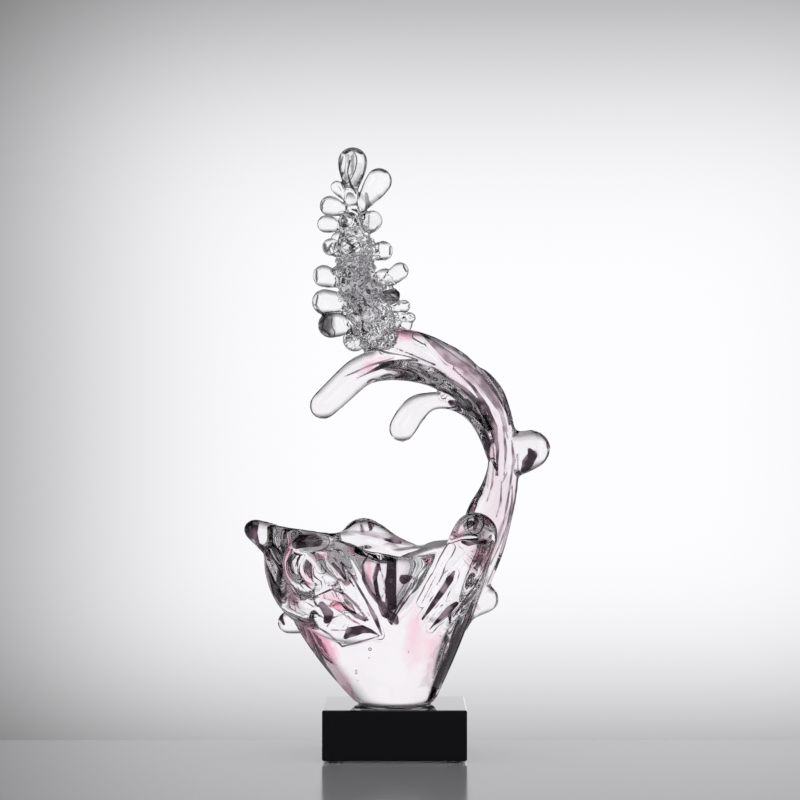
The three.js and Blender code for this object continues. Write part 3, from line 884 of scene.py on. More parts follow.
    "drip's lower mark": WAVE_SIGHT.shade_cord(
        (356, 379, 0.5), (368, 373, 1.2), (379, 368, 2.2), (394, 362, 2), depth=0.85,
    ),
    "wave's knob": WAVE_SIGHT.shade_cord(
        (524, 471.5, 3), (528, 463, 6), (533, 455, 5), (529, 449, 2), depth=0.97,
    ),
    "wave's knob's rim": WAVE_SIGHT.shade_cord((541, 433, 1), (548, 441, 2.2), (548, 449, 1), depth=0.7),
    "hump's eye": BACK_SIGHT.shade_cord((361, 524, 1), (362.5, 531, 1.5), depth=0.85),
    "hump's mark": BACK_SIGHT.shade_cord((368, 519, 1), (371, 529, 2), depth=0.8),
    "under the hump": BACK_SIGHT.shade_cord(
        (383, 545, 1.5), (391, 545, 3), (399, 548, 1), depth=0.85, front=False,
    ),
    "hump's shade": BACK_SIGHT.shade_cord(
        (352, 538, 3), (368, 536, 4.5), (384, 541, 4.5), (398, 547, 3), (410, 552, 1), depth=0.45,
        front=False,
    ),
}
# Cords of painted shade in the blossom.
BLOSSOM_SHADE_CORDS = {
    "ring": WAVE_SIGHT.shade_cord((343, 241, 0.5), (350, 245, 1), (358, 250, 0.5), reach=7, spacing=4, depth=1),
    "crown's left": WAVE_SIGHT.shade_cord(
        (343, 156, 1), (339, 166, 2), (340.5, 178, 1.6), (345, 188, 0.8), reach=3, spacing=3.6, depth=0.9,
    ),
    "crown's lens": WAVE_SIGHT.shade_cord(
        (350, 160, 0.8), (347.5, 172, 0.8), (350.5, 184, 1), (356, 193, 1), depth=0.9,
    ),
    "crown's top": WAVE_SIGHT.shade_cord((344, 153, 1.5), (352, 149, 1.8), (362, 153, 1.6), depth=0.85),
    "crown's shade": WAVE_SIGHT.shade_cord((357, 166, 6), (357.5, 180, 5), (357, 190, 1.5), depth=0.3),
    "dark bead": WAVE_SIGHT.shade_cord(
        (326, 317, 1.5), (324.5, 326, 3.2), (330, 335, 1.5), reach=6, spacing=3.4, depth=0.85,
    ),
    "low curl": WAVE_SIGHT.shade_cord(
        (350, 318, 0), (357, 324, 0), (357, 332, 0), reach=8, spacing=3.6, depth=0.9,
    ),
    "high curl": WAVE_SIGHT.shade_cord((342, 214, 0.5), (346, 222, 2.5), reach=5, spacing=3.2, depth=0.85),
    "high bead's cap": WAVE_SIGHT.shade_cord((372, 170, 1), (379, 168.5, 1.8), (386, 172, 1), depth=0.75),
    "high bead's foot": WAVE_SIGHT.shade_cord((366, 193, 1.5), (368, 203, 2.5), (366, 209, 1), depth=0.75),
    "right bead's mark": WAVE_SIGHT.shade_cord((369, 215, 1), (368, 228, 1.2), depth=0.75),
    "left bead's mark": WAVE_SIGHT.shade_cord((322, 216, 0.8), (321, 206, 1.5), (325, 200, 1), depth=0.7),
    "dark lump": WAVE_SIGHT.shade_cord((384, 292, 2), (394, 291, 3), (401, 297, 2), reach=3, depth=0.85),
    "big bead's foot": WAVE_SIGHT.shade_cord((316, 305, 1), (320, 313, 2), (328, 317, 1), depth=0.8),
}
PINK_VEILS = {
    "cone left": Sight(0).veil(320, 640, 14, 30, -40, 90, 1.0),
    "cone left's top": Veil(-72, 0, 68, 9, 90, 8, 0, 0.7),
    "cone left low": Sight(0).veil(342, 676, 8, 22, -32, 90, 0.35),
    "cone middle": Sight(0).veil(413, 634, 12, 42, 6, 90, 0.34),
    "lobe left": Sight(-50).veil(456, 536, 9, 13, 20, 20, 0.35),
    "lobe": Sight(-50).veil(474, 552, 14, 24, 15, 20, 0.25),
    "lobe top": Sight(-50).veil(488, 520, 8, 6, 20, 20, 0.45),
    "strip": Sight(-45).veil(288, 545, 5, 20, 0, 24, 0.7),
    "left": Sight(-45).veil(287, 570, 6, 26, 0, 24, 0.4),
    "under pill": Sight(-52).veil(322, 556, 12, 4, 0, 20, 0.5),
    "loops": Sight(-45).veil(291, 598, 9, 14, -20, 20, 0.5),
    "leaf": Sight(-50).veil(340, 602, 22, 8, 22, 20, 0.5),
    "shell": Sight(-50).veil(308, 572, 8, 12, 0, 20, 0.35),
    "lens": Sight(-50).veil(369, 570, 4, 18, 0, 20, 0.35),
    "crest": Sight(-12).veil(407, 333, 14, 9, -10, 20, 0.6),
    "drip": Sight(-16).veil(372, 365, 20, 7, -30, 18, 0.4),
    "trunk high": Sight(0).veil(460, 372, 36, 14, 40, 30, 0.14),
    "trunk middle": Sight(4).veil(490, 440, 18, 54, -10, 30, 0.08),
    "trunk low": Sight(6).veil(495, 520, 18, 54, 10, 34, 0.07),
}
# Veils of painted shade: dark patches in the glass's colour.
PAINTED_SHADE_VEILS = {
    "trunk": Veil(86, 4, 190, 16, 34, 70, 0, 0.07),
    "left tip": Sight(-2).veil(249, 530, 8, 11, 0, 30, 0.6),
    "crest": Sight(-6).veil(470, 378, 40, 6, 42, 26, 0.3),
    "cone's edge": Veil(46, 0, 39, 4.2, 90, 42, 26, 0.75),
    "beside the cone's edge": Veil(37, 0, 44, 8, 90, 44, 24, 0.16),
    "lobe's rim": Sight(-45).veil(497, 535, 3, 16, 0, 20, 0.5),
}
# Veils of painted shade in the blossom.
BLOSSOM_SHADE_VEILS = {
    "core": Veil(-29, -6, 352, 17, 22, 58, -14, 0.32),
    "dark bead": Veil(-57, -6, 321, 7, 20, 12, 0, 0.4),
    "dark lump": Veil(-2, -10, 342, 9, 16, 4, 0, 0.35),
}


def seed_ring_shade(across: float, down: float, wide: float, tall: float) -> Veil:
    """A seed bubble read off the photograph and painted as a ring of shade, with its half width and half
    height in millimetres.
    """
    x, z = VESSEL_SIGHT.spot(across, down)
    return Veil(x, -40, z, wide, 30, tall, 0, 0.8)


# Seed bubbles, each painted as a thin ring of shade in the glass's colour; the bubbles are not in the mesh.
SEED_RING_SHADES = {
    "seed above": seed_ring_shade(370, 649, 1.6, 1.6),
    "seed below it": seed_ring_shade(369, 658, 0.7, 0.7),
    "long seed": seed_ring_shade(356, 673, 0.9, 2.2),
    "seed under it": seed_ring_shade(357.5, 682, 0.6, 0.6),
    "middle seed": seed_ring_shade(408.5, 652, 0.5, 1.1),
    "right seed": seed_ring_shade(440.5, 637, 0.8, 0.8),
    "low seed": seed_ring_shade(433.5, 680, 1.0, 0.7),
}


@dataclass(frozen=True)
class GlassFinish:
    """Fire-polished clear glass, with optional veils of pink, and painted shade: dark lines, cords, veils and
    seed rings in its colour.
    """

    name: str
    clear: tuple[float, float, float, float] = colour(0.985, 0.985, 0.99)
    pink: tuple[float, float, float, float] = colour(1.0, 0.22, 0.40)
    # the painted shade's colour at middle depth, and at full depth
    mauve: tuple[float, float, float, float] = colour(0.22, 0.13, 0.18)
    dark: tuple[float, float, float, float] = colour(0.0016, 0.0006, 0.0012)
    veils: tuple[Veil, ...] = ()
    # veils of painted shade
    shade_veils: tuple[Veil, ...] = ()
    # seed bubbles, painted as rings of shade
    seed_ring_shades: tuple[Veil, ...] = ()
    ripple: float = 0.04
    # how strongly the flutes' lines of painted shade, and their relief, show
    lines: float = 1.0
    flutes: float = 13.0
    flute_drift: float = 1.2
    thread_drift: float = 2.5
    wander: float = 1.6
    wave_height: float = 4.0
    flute_height: float = 0.3

    def make(self) -> bpy.types.Material:
        """Makes the material."""
        material = bpy.data.materials.new(self.name)
        material.use_nodes = True
        book = NodeBook(material.node_tree)
        place = book.place()
        dark, relief = self._drawing(book, place)
        tint: object = self.clear
        if self.veils:
            tint = book.mix(self._cover(book, place, self.veils, 0.35, 0.5), self.clear, self.pink)
        # veils of painted shade darken the glass's colour
        if self.shade_veils:
            dark = dark.most(self._cover(book, place, self.shade_veils, 0.6, 0.9))
        # the seed bubbles' rings of painted shade
        if self.seed_ring_shades:
            dark = dark.most(self._painted_seed_rings(book, place, self.seed_ring_shades))
        # painted shade: the glass's colour turns mauve, then near black, as the shade deepens
        shade = book.mix(dark.ease(0.0, 0.65), tint, self.mauve)
        normal = book.node("ShaderNodeBump", {}, {"Strength": 1.0, "Distance": 0.001, "Height": relief})
        polish = book.node("ShaderNodeTexNoise", {}, {"Vector": place, "Scale": 18.0, "Detail": 2.0})
        shader = book.node(
            "ShaderNodeBsdfPrincipled",
            {},
            {
                "Base Color": book.mix(dark.ease(0.35, 0.85), shade, self.dark),
                "Roughness": polish.ease(0.4, 0.8, 0.0, 0.015),
                "IOR": 1.5,
                "Transmission Weight": 1.0,
                "Normal": normal,
            },
        )
        book.node("ShaderNodeOutputMaterial", {}, {"Surface": shader})
        return material

    def _drawing(self, book: NodeBook, place: Value) -> tuple[Value, Value]:
        """Paints shade in the flutes' valleys and in the cords of painted shade, and makes the flutes'
        relief.

        Args:
            book: The material's nodes.
            place: The place on the object.

        Returns:
            How much painted shade the glass has, from 0 to 1, and the height of its skin in millimetres.
        """
        waviness = book.node(
            "ShaderNodeTexNoise", {}, {"Vector": place, "Scale": 55.0, "Detail": 1.0, "Roughness": 0.4}
        )
        drawn = book.node("ShaderNodeAttribute", {"attribute_name": "drawn"}, output="Vector")
        strength = book.node("ShaderNodeAttribute", {"attribute_name": "lines"}, output="Fac") * self.lines
        slow = book.node("ShaderNodeMapping", {}, {"Vector": drawn, "Scale": (0.012, 0.05, 0.05)})
        drift = book.node("ShaderNodeTexNoise", {}, {"Vector": slow, "Scale": 1.0, "Detail": 0.0})
        long = book.node("ShaderNodeMapping", {}, {"Vector": drawn, "Scale": (0.02, 0.12, 0.12)})
        breaks = book.node("ShaderNodeTexNoise", {}, {"Vector": long, "Scale": 1.0, "Detail": 1.0})
        along, across, front = book.parts(drawn)
        bearing = book.node("ShaderNodeMath", {"operation": "ARCTAN2"}, {0: front, 1: across})
        flutes = self._wave(book, bearing * (self.flutes / 2) + along * 0.01 + drift * self.flute_drift)
        threads = self._wave(book, bearing * self.flutes + along * 0.02 + drift * self.thread_drift)
        # painted shade: dark lines in the valleys of the flutes and threads, and grey streaks between them
        dark = flutes.ease(0.02, 0.3, 0.9, 0.0) * breaks.ease(0.30, 0.55, 0.3, 1.0)
        dark = dark.most(threads.ease(0.02, 0.30, 0.6, 0.0) * breaks.ease(0.40, 0.60))
        dark = dark.most(breaks.ease(0.56, 0.72, 0.0, 0.2)) * strength
        ripples = waviness * (self.wave_height * self.ripple)
        relief = ripples + strength * strength * flutes * self.flute_height
        # the cords of painted shade: a dark fill, and thin dark lines round it
        nested = book.node("ShaderNodeAttribute", {"attribute_name": "shade_cords"}, output="Vector")
        steps, depth = book.parts(nested)[:2]
        wander = book.node("ShaderNodeTexNoise", {}, {"Vector": place, "Scale": 60.0, "Detail": 1.0})
        thick = book.node("ShaderNodeTexNoise", {}, {"Vector": place, "Scale": 110.0, "Detail": 0.0})
        loops = self._wave(book, (steps + wander * self.wander) * math.pi)
        width = thick.ease(0.35, 0.65, 0.12, 0.75)
        thin = ((1 - (loops / width).least(1.0)) * 1.7).least(1.0) * steps.ease(0.3, 0.6)
        full = (steps + (wander - 0.5) * 0.5).ease(-0.12, 0.10, 1.0, 0.0) * thick.ease(0.3, 0.7, 1.0, 0.7)
        return dark.most(thin.most(full) * depth), relief

    @staticmethod
    def _wave(book: NodeBook, turns: Value) -> Value:
        """A row of rounded ridges with sharp valleys between them, from 0 to 1."""
        return abs(book.node("ShaderNodeMath", {"operation": "SINE"}, {0: turns}))

    @staticmethod
    def _cover(book: NodeBook, place: Value, veils: Sequence[Veil], edge: float, ragged: float) -> Value:
        """How far veils cover a place, for veils of pink and for veils of painted shade.

        Args:
            book: The material's nodes.
            place: The place on the object.
            veils: The veils.
            edge: Where their edges start to fade, in shares of their size.
            ragged: How ragged their edges are.

        Returns:
            The cover, from 0 to 1.
        """
        flow = book.node(
            "ShaderNodeTexNoise",
            {},
            {"Vector": place, "Scale": 26.0, "Detail": 3.0, "Roughness": 0.55, "Distortion": 0.8},
        )
        inputs = {"Vector": place, "Scale": 90.0, "Detail": 1.5, "Distortion": 0.6}
        fine = book.node("ShaderNodeTexNoise", {}, inputs)
        torn = (fine - 0.5) * ragged
        total: Value | float = 0.0
        for veil in veils:
            local = veil.local(book, place)
            reach = book.node("ShaderNodeVectorMath", {"operation": "LENGTH"}, {0: local}, output="Value")
            total = total + (reach + torn).ease(edge, 1.3 - 0.3 * edge, veil.strength, 0.0)
        clear = 1 - (total * flow.ease(0.32, 0.62, 0.75, 1.1)).least(1.0)
        return 1 - clear * clear

    @staticmethod
    def _painted_seed_rings(book: NodeBook, place: Value, seed_ring_shades: Sequence[Veil]) -> Value:
        """Seed bubbles, each painted as a thin ring of shade."""
        total: Value | float = 0.0
        for seed in seed_ring_shades:
            reach = book.node(
                "ShaderNodeVectorMath", {"operation": "LENGTH"}, {0: seed.local(book, place)}, output="Value"
            )
            total = total + abs(reach - 0.75).ease(0.1, 0.3, seed.strength, 0.0)
        return total.least(1.0)


@dataclass(frozen=True)
class BlackGlassFinish:
    """Polished black crystal glass, with a trace of dust and wipe marks."""

    name: str = "polished_black_glass"

    def make(self) -> bpy.types.Material:
        """Makes the material."""
        material = bpy.data.materials.new(self.name)
        material.use_nodes = True
        book = NodeBook(material.node_tree)
        place = book.place()
        smear = book.node(
            "ShaderNodeTexNoise", {}, {"Vector": place, "Scale": 34.0, "Detail": 4.0, "Distortion": 1.2}
        )
        dust = book.node("ShaderNodeTexNoise", {}, {"Vector": place, "Scale": 900.0, "Detail": 1.0})
        speck = dust.ease(0.70, 0.78)
        facing = book.node("ShaderNodeLayerWeight", {}, {"Blend": 0.5}, output="Facing")
        shader = book.node(
            "ShaderNodeBsdfPrincipled",
            {},
            {
                "Base Color": book.mix(speck, colour(0.003, 0.003, 0.004), colour(0.02, 0.02, 0.022)),
                "Roughness": smear.ease(0.45, 0.75, 0.03, 0.09) + speck * 0.2,
                "IOR": 1.52,
                "Specular IOR Level": 0.1,
                "Coat Weight": facing.ease(0.6, 0.9),
                "Coat Roughness": 0.02,
            },
        )
        book.node("ShaderNodeOutputMaterial", {}, {"Surface": shader})
        return material


@dataclass(frozen=True)
class ClearSoftFinish:
    """Clear soft plastic, as in bumpers and a cured film of adhesive."""

    name: str
    tone: tuple[float, float, float, float]
    roughness: float
    ior: float

    def make(self) -> bpy.types.Material:
        """Makes the material."""
        material = bpy.data.materials.new(self.name)
        material.use_nodes = True
        book = NodeBook(material.node_tree)
        place = book.place()
        haze = book.node("ShaderNodeTexNoise", {}, {"Vector": place, "Scale": 260.0, "Detail": 2.0})
        darker = tuple(0.9 * part for part in self.tone[:3]) + (1.0,)
        shader = book.node(
            "ShaderNodeBsdfPrincipled",
            {},
            {
                "Base Color": book.mix(haze.ease(0.4, 0.7), self.tone, darker),
                "Roughness": haze.ease(0.35, 0.75, self.roughness, self.roughness + 0.12),
                "IOR": self.ior,
                "Transmission Weight": 0.85,
            },
        )
        book.node("ShaderNodeOutputMaterial", {}, {"Surface": shader})
        return material


class Finish(Enum):
    """The finishes of the sculpture."""

    PINK_GLASS = GlassFinish(
        "clear_glass_with_pink_veils",
        clear=colour(0.98, 0.955, 0.97),
        veils=tuple(PINK_VEILS.values()),
        shade_veils=tuple(PAINTED_SHADE_VEILS.values()),
        seed_ring_shades=tuple(SEED_RING_SHADES.values()),
    )
    CLEAR_GLASS = GlassFinish(
        "clear_glass",
        # grey painted shade in the blossom
        mauve=colour(0.30, 0.28, 0.30),
        dark=colour(0.004, 0.003, 0.004),
        shade_veils=tuple(BLOSSOM_SHADE_VEILS.values()),
        ripple=0.1,
    )
    BLACK_GLASS = BlackGlassFinish()
    BUMPER = ClearSoftFinish("clear_bumper", colour(0.92, 0.92, 0.93), 0.18, 1.46)
    ADHESIVE = ClearSoftFinish("clear_adhesive", colour(0.94, 0.94, 0.95), 0.05, 1.49)

    @functools.cached_property
    def material(self) -> bpy.types.Material:
        """The finish's material, made once and shared."""
        return self.value.make()

    def on(self, piece: bpy.types.Object) -> None:
        """Gives a piece this finish."""
        piece.data.materials.clear()
        piece.data.materials.append(self.material)


def settle(piece: bpy.types.Object, finish: Finish, nodes: Sequence[str]) -> None:
    """Finishes a piece and ties it to the frame.

    Args:
        piece: The finished mesh.
        finish: Its finish.
        nodes: The nodes that it stands for.
    """
    finish.on(piece)
    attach(piece, BODY)
    if nodes:
        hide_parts(*nodes)
    log.info("%s: %d faces, for %s", piece.name, len(piece.data.polygons), ", ".join(nodes) or "no node")


# The vessel


@dataclass
class Vessel:
    """The flared vessel: a solid cone, a folded rim and a short hollow."""

    foot_radius: float = 34.0
    foot_round: float = 1.5
    bulge: float = 8.0
    bulge_left: float = 27.0
    rim_round: float = 4.5
    drapes: int = 9
    drape_depth: float = 0.4
    mouth_x: float = -22.0
    mouth_wide: float = 60.0
    mouth_deep: float = 45.0
    mouth_drop: float = 5.0
    hollow_x: float = -4.0
    hollow_floor: float = 66.0
    hollow_belly_wide: float = 8.0
    hollow_belly_deep: float = 5.0
    hollow_ridge: float = 27.0
    sides: int = 120
    wall_rings: int = 34
    hollow_rings: int = 20
    rim: tuple[tuple[float, float, float], ...] = (
        (16, 80, 138),
        (48, 67, 135),
        (74, 63, 131),
        (92, 62, 138),
        (111, 67, 144),
        (139, 76, 143),
        (162, 92, 147),
        (180, 110, 152),
        (202, 92, 150),
        (222, 80, 145),
        (234, 72, 140),
        (252, 64, 132),
        (281, 62, 127),
        (305, 68, 135),
        (326, 77, 143),
        (350, 84, 141),
    )

    def rim_at(self, bearing: np.ndarray) -> tuple[np.ndarray, np.ndarray]:
        """The rim's reach and height at bearings in degrees."""
        rim = np.array(self.rim, float)
        around = np.vstack([rim[-1] - [360, 0, 0], rim, rim[0] + [360, 0, 0]])
        turn = np.mod(bearing, 360)
        after = np.clip(np.searchsorted(around[:, 0], turn, side="right"), 1, len(around) - 1)
        low, high = around[after - 1], around[after]
        share = (turn - low[:, 0]) / (high[:, 0] - low[:, 0])
        share = share * share * (3 - 2 * share)
        return low[:, 1] + share * (high[:, 1] - low[:, 1]), low[:, 2] + share * (high[:, 2] - low[:, 2])

    def reach(self, bearing: np.ndarray, height: np.ndarray) -> np.ndarray:
        """The wall's distance from the axis at bearings and heights."""
        rim_reach, rim_height = self.rim_at(bearing)
        share = np.clip((height - self.foot_round) / (rim_height - self.rim_round - self.foot_round), 0, 1.1)
        across = np.cos(np.radians(bearing))
        bulge = self.bulge + self.bulge_left * ((1 - across) / 2) ** 3
        middle = (self.foot_radius + rim_reach) / 2 + bulge
        wall = (1 - share) ** 2 * self.foot_radius + 2 * share * (1 - share) * middle + share**2 * rim_reach
        hang = np.cos(np.radians(self.drapes * bearing))
        drape = self.drape_depth * np.sin(math.pi * np.clip(share, 0, 1)) * hang
        return wall + drape

    def front(self, x: float, z: float, lift: float) -> tuple[float, float, float]:
        """The place on the front wall at a given x and height, pushed out by lift."""
        bearing = np.arange(181.0, 359.0, 0.5)
        reach = self.reach(bearing, np.full(len(bearing), z)) + lift
        nearest = int(np.argmin(np.abs(reach * np.cos(np.radians(bearing)) - x)))
        return (x, float(reach[nearest] * math.sin(math.radians(bearing[nearest]))), z)

    def body(self) -> Gather:
        """The cone with its rim and hollow."""
        bearing = np.linspace(0, 360, self.sides, endpoint=False)
        out = np.stack([np.cos(np.radians(bearing)), np.sin(np.radians(bearing))], axis=1)
        rim_reach, rim_height = self.rim_at(bearing)
        rings = [np.column_stack([out * (self.foot_radius - self.foot_round), np.zeros(self.sides)])]
        for share in np.linspace(0, 1, self.wall_rings):
            height = self.foot_round + share * (rim_height - self.rim_round - self.foot_round)
            rings.append(np.column_stack([out * self.reach(bearing, height)[:, None], height]))
        for turn in np.radians([20, 40, 60, 80, 90]):
            reach = rim_reach - self.rim_round * (1 - math.cos(turn))
            height = rim_height - self.rim_round * (1 - math.sin(turn))
            rings.append(np.column_stack([out * reach[:, None], height]))
        lip_x = self.mouth_x + self.mouth_wide * out[:, 0]
        lip = np.column_stack([lip_x, self.mouth_deep * out[:, 1], rim_height - self.mouth_drop])
        edge = rings[-1]
        rings.append((2 * edge + lip) / 3 - [0, 0, 0.8])
        rings.append((edge + 2 * lip) / 3 - [0, 0, 0.4])
        level = np.full(self.sides, self.hollow_floor)
        floor = np.column_stack([np.full(self.sides, self.hollow_x), self.hollow_ridge * out[:, 1], level])
        belly_out = out * [self.hollow_belly_wide, self.hollow_belly_deep]
        belly = np.column_stack([belly_out, np.zeros(self.sides)])
        middle = (lip + floor) / 2 + belly
        for share in np.linspace(0, 0.97, self.hollow_rings):
            rings.append((1 - share) ** 2 * lip + 2 * share * (1 - share) * middle + share**2 * floor)
        still = np.zeros((len(rings), 3))
        draw = Draw(still, still, still, still, still[:, 0], still[:, 0], lines=0.03, radial=True)
        return Gather(loft("cone", np.array(rings)), draw, self.sides)

    def laid(self, name: str, rows: Sequence[Sequence[float]], sides: int = 12) -> Gather:
        """A strand laid on the front wall.

        Args:
            name: The strand's name.
            rows: Its stations as x, height, lift and width.
            sides: Points round the strand.

        Returns:
            The strand.
        """
        points = [Station(*self.front(x, z, lift), wide) for x, z, lift, wide in rows]
        return limb(name, points, sides=sides, step=1.5)

    def gathers(self) -> list[Gather]:
        """The cone, its petals, its knobs and the swirl of folds at the front left."""
        made = [self.body()]
        made.append(
            limb(
                "petal_left_tip",
                stations(
                    (-86, -2, 128, 34, 30),
                    (-100, -2, 136, 30, 26),
                    (-112, -2, 143, 24, 20),
                    (-127.5, -2, 151, 15),
                ),
            )
        )
        made.append(
            limb(
                "petal_right",
                stations(
                    (29, -48, 74, 17, 12),
                    (40, -52, 90, 29, 16),
                    (53, -54, 112, 37, 19),
                    (64, -51, 136, 39, 22),
                    (72.5, -48, 163, 37, 22),
                ),
                sides=28,
                lines=0.1,
                flat=0.75,
            )
        )
        made.append(
            limb(
                "petal_back",
                stations(
                    (-50, 55, 129, 12, 12),
                    (-38, 60, 136, 24, 16),
                    (-28, 62, 140.5, 30, 18),
                    (-17, 63, 138, 26, 17),
                    (-6, 63, 133, 20, 16),
                    (6, 62.5, 129, 15, 14),
                    (22, 62, 126, 9, 10),
                ),
                face=(0, 1, 0.2),
            )
        )
        made.append(
            limb(
                "fold_left",
                stations(
                    (-104, -8, 134, 16, 14),
                    (-99, -18, 110, 22, 18),
                    (-87, -28, 90, 27, 20),
                    (-68, -42, 79, 31, 22),
                    (-42, -50, 69, 30, 20),
                    (-12, -52, 61, 9, 9),
                ),
                face=(-0.6, -0.8, 0),
            )
        )
        made.append(
            limb(
                "knob_low_left",
                stations((-62, 22, 70, 28, 22), (-80, 26, 68, 24, 20), (-101, 30, 64, 19, 17)),
            )
        )
        made.append(
            limb("knob_low_right", stations((50, 18, 76, 26, 26), (68, 16, 84, 26, 26), (89, 14, 90, 22, 24)))
        )
        made.append(
            limb(
                "curl_front",
                stations(
                    (-51, -60, 137, 16, 14),
                    (-66, -55, 138, 16, 14),
                    (-80, -46, 136, 15, 14),
                    (-88, -38, 121, 13),
                    (-83, -41, 105, 12),
                    (-69, -49, 97, 12),
                    (-56, -55, 102, 10),
                ),
                face=(-0.6, -0.8, 0.2),
            )
        )
        made.append(
            limb(
                "ridge_front",
                stations(
                    (-56, -60, 128, 12, 11),
                    (-41, -61, 113, 14, 12),
                    (-27, -60, 92, 13, 12),
                    (-14, -56, 70, 10, 10),
                    (-6, -48, 52, 5, 5),
                    (-1, -38, 36, 2, 2),
                ),
            )
        )
        for name, rows in self.swirls().items():
            made.append(self.laid(name, rows))
        return made

    @staticmethod
    def swirls() -> dict[str, tuple[tuple[float, float, float, float], ...]]:
        """The thin strands laid over the folds, as x, height, lift and width."""
        return {
            "strand_high": (
                (-50, 140, 0, 3),
                (-43, 131, 4, 6),
                (-33, 113, 5, 7),
                (-21, 91, 5, 7),
                (-9, 67, 3, 5),
                (-3, 46, -1, 2),
            ),
            "strand_mid": (
                (-53, 137, 2, 3),
                (-46, 122, 8, 6),
                (-36, 104, 9, 7),
                (-24, 84, 8, 7),
                (-13, 62, 5, 5),
                (-7, 44, -1, 2),
            ),
            "leaf_low": (
                (-58, 104, 4, 3), (-48, 103, 8, 8), (-38, 95, 9, 11),
                (-29, 84, 7, 9), (-20, 73, 0, 2),
            ),
            "leaf_mid": (
                (-64, 90, 6, 3), (-53, 89, 9, 8), (-41, 83, 10, 10),
                (-28, 75, 8, 9), (-14, 63, 0, 2),
            ),
            "leaf_deep": (
                (-74, 84, 7, 3), (-62, 78, 11, 8), (-48, 70, 10, 9),
                (-36, 66, 7, 7), (-26, 62, 0, 2),
            ),
            "lobe_edge_inner": (
                (42, 136, 2, 2), (49, 148, 7, 6), (58, 157, 8, 7),
                (68, 160, 9, 6), (76, 154, 8, 3),
            ),
            "pleat_a": ((52, 120, 8, 3), (44, 106, 9, 7), (34, 91, 8, 8), (26, 76, 4, 6), (20, 66, -1, 2)),
            "pleat_b": ((66, 110, 6, 3), (56, 96, 8, 7), (44, 81, 7, 7), (34, 68, 3, 5), (28, 60, -1, 2)),
            "pleat_c": ((74, 104, 4, 3), (65, 93, 7, 8), (54, 80, 6, 8), (46, 69, 2, 5), (42, 62, -1, 2)),
        }


# The wave


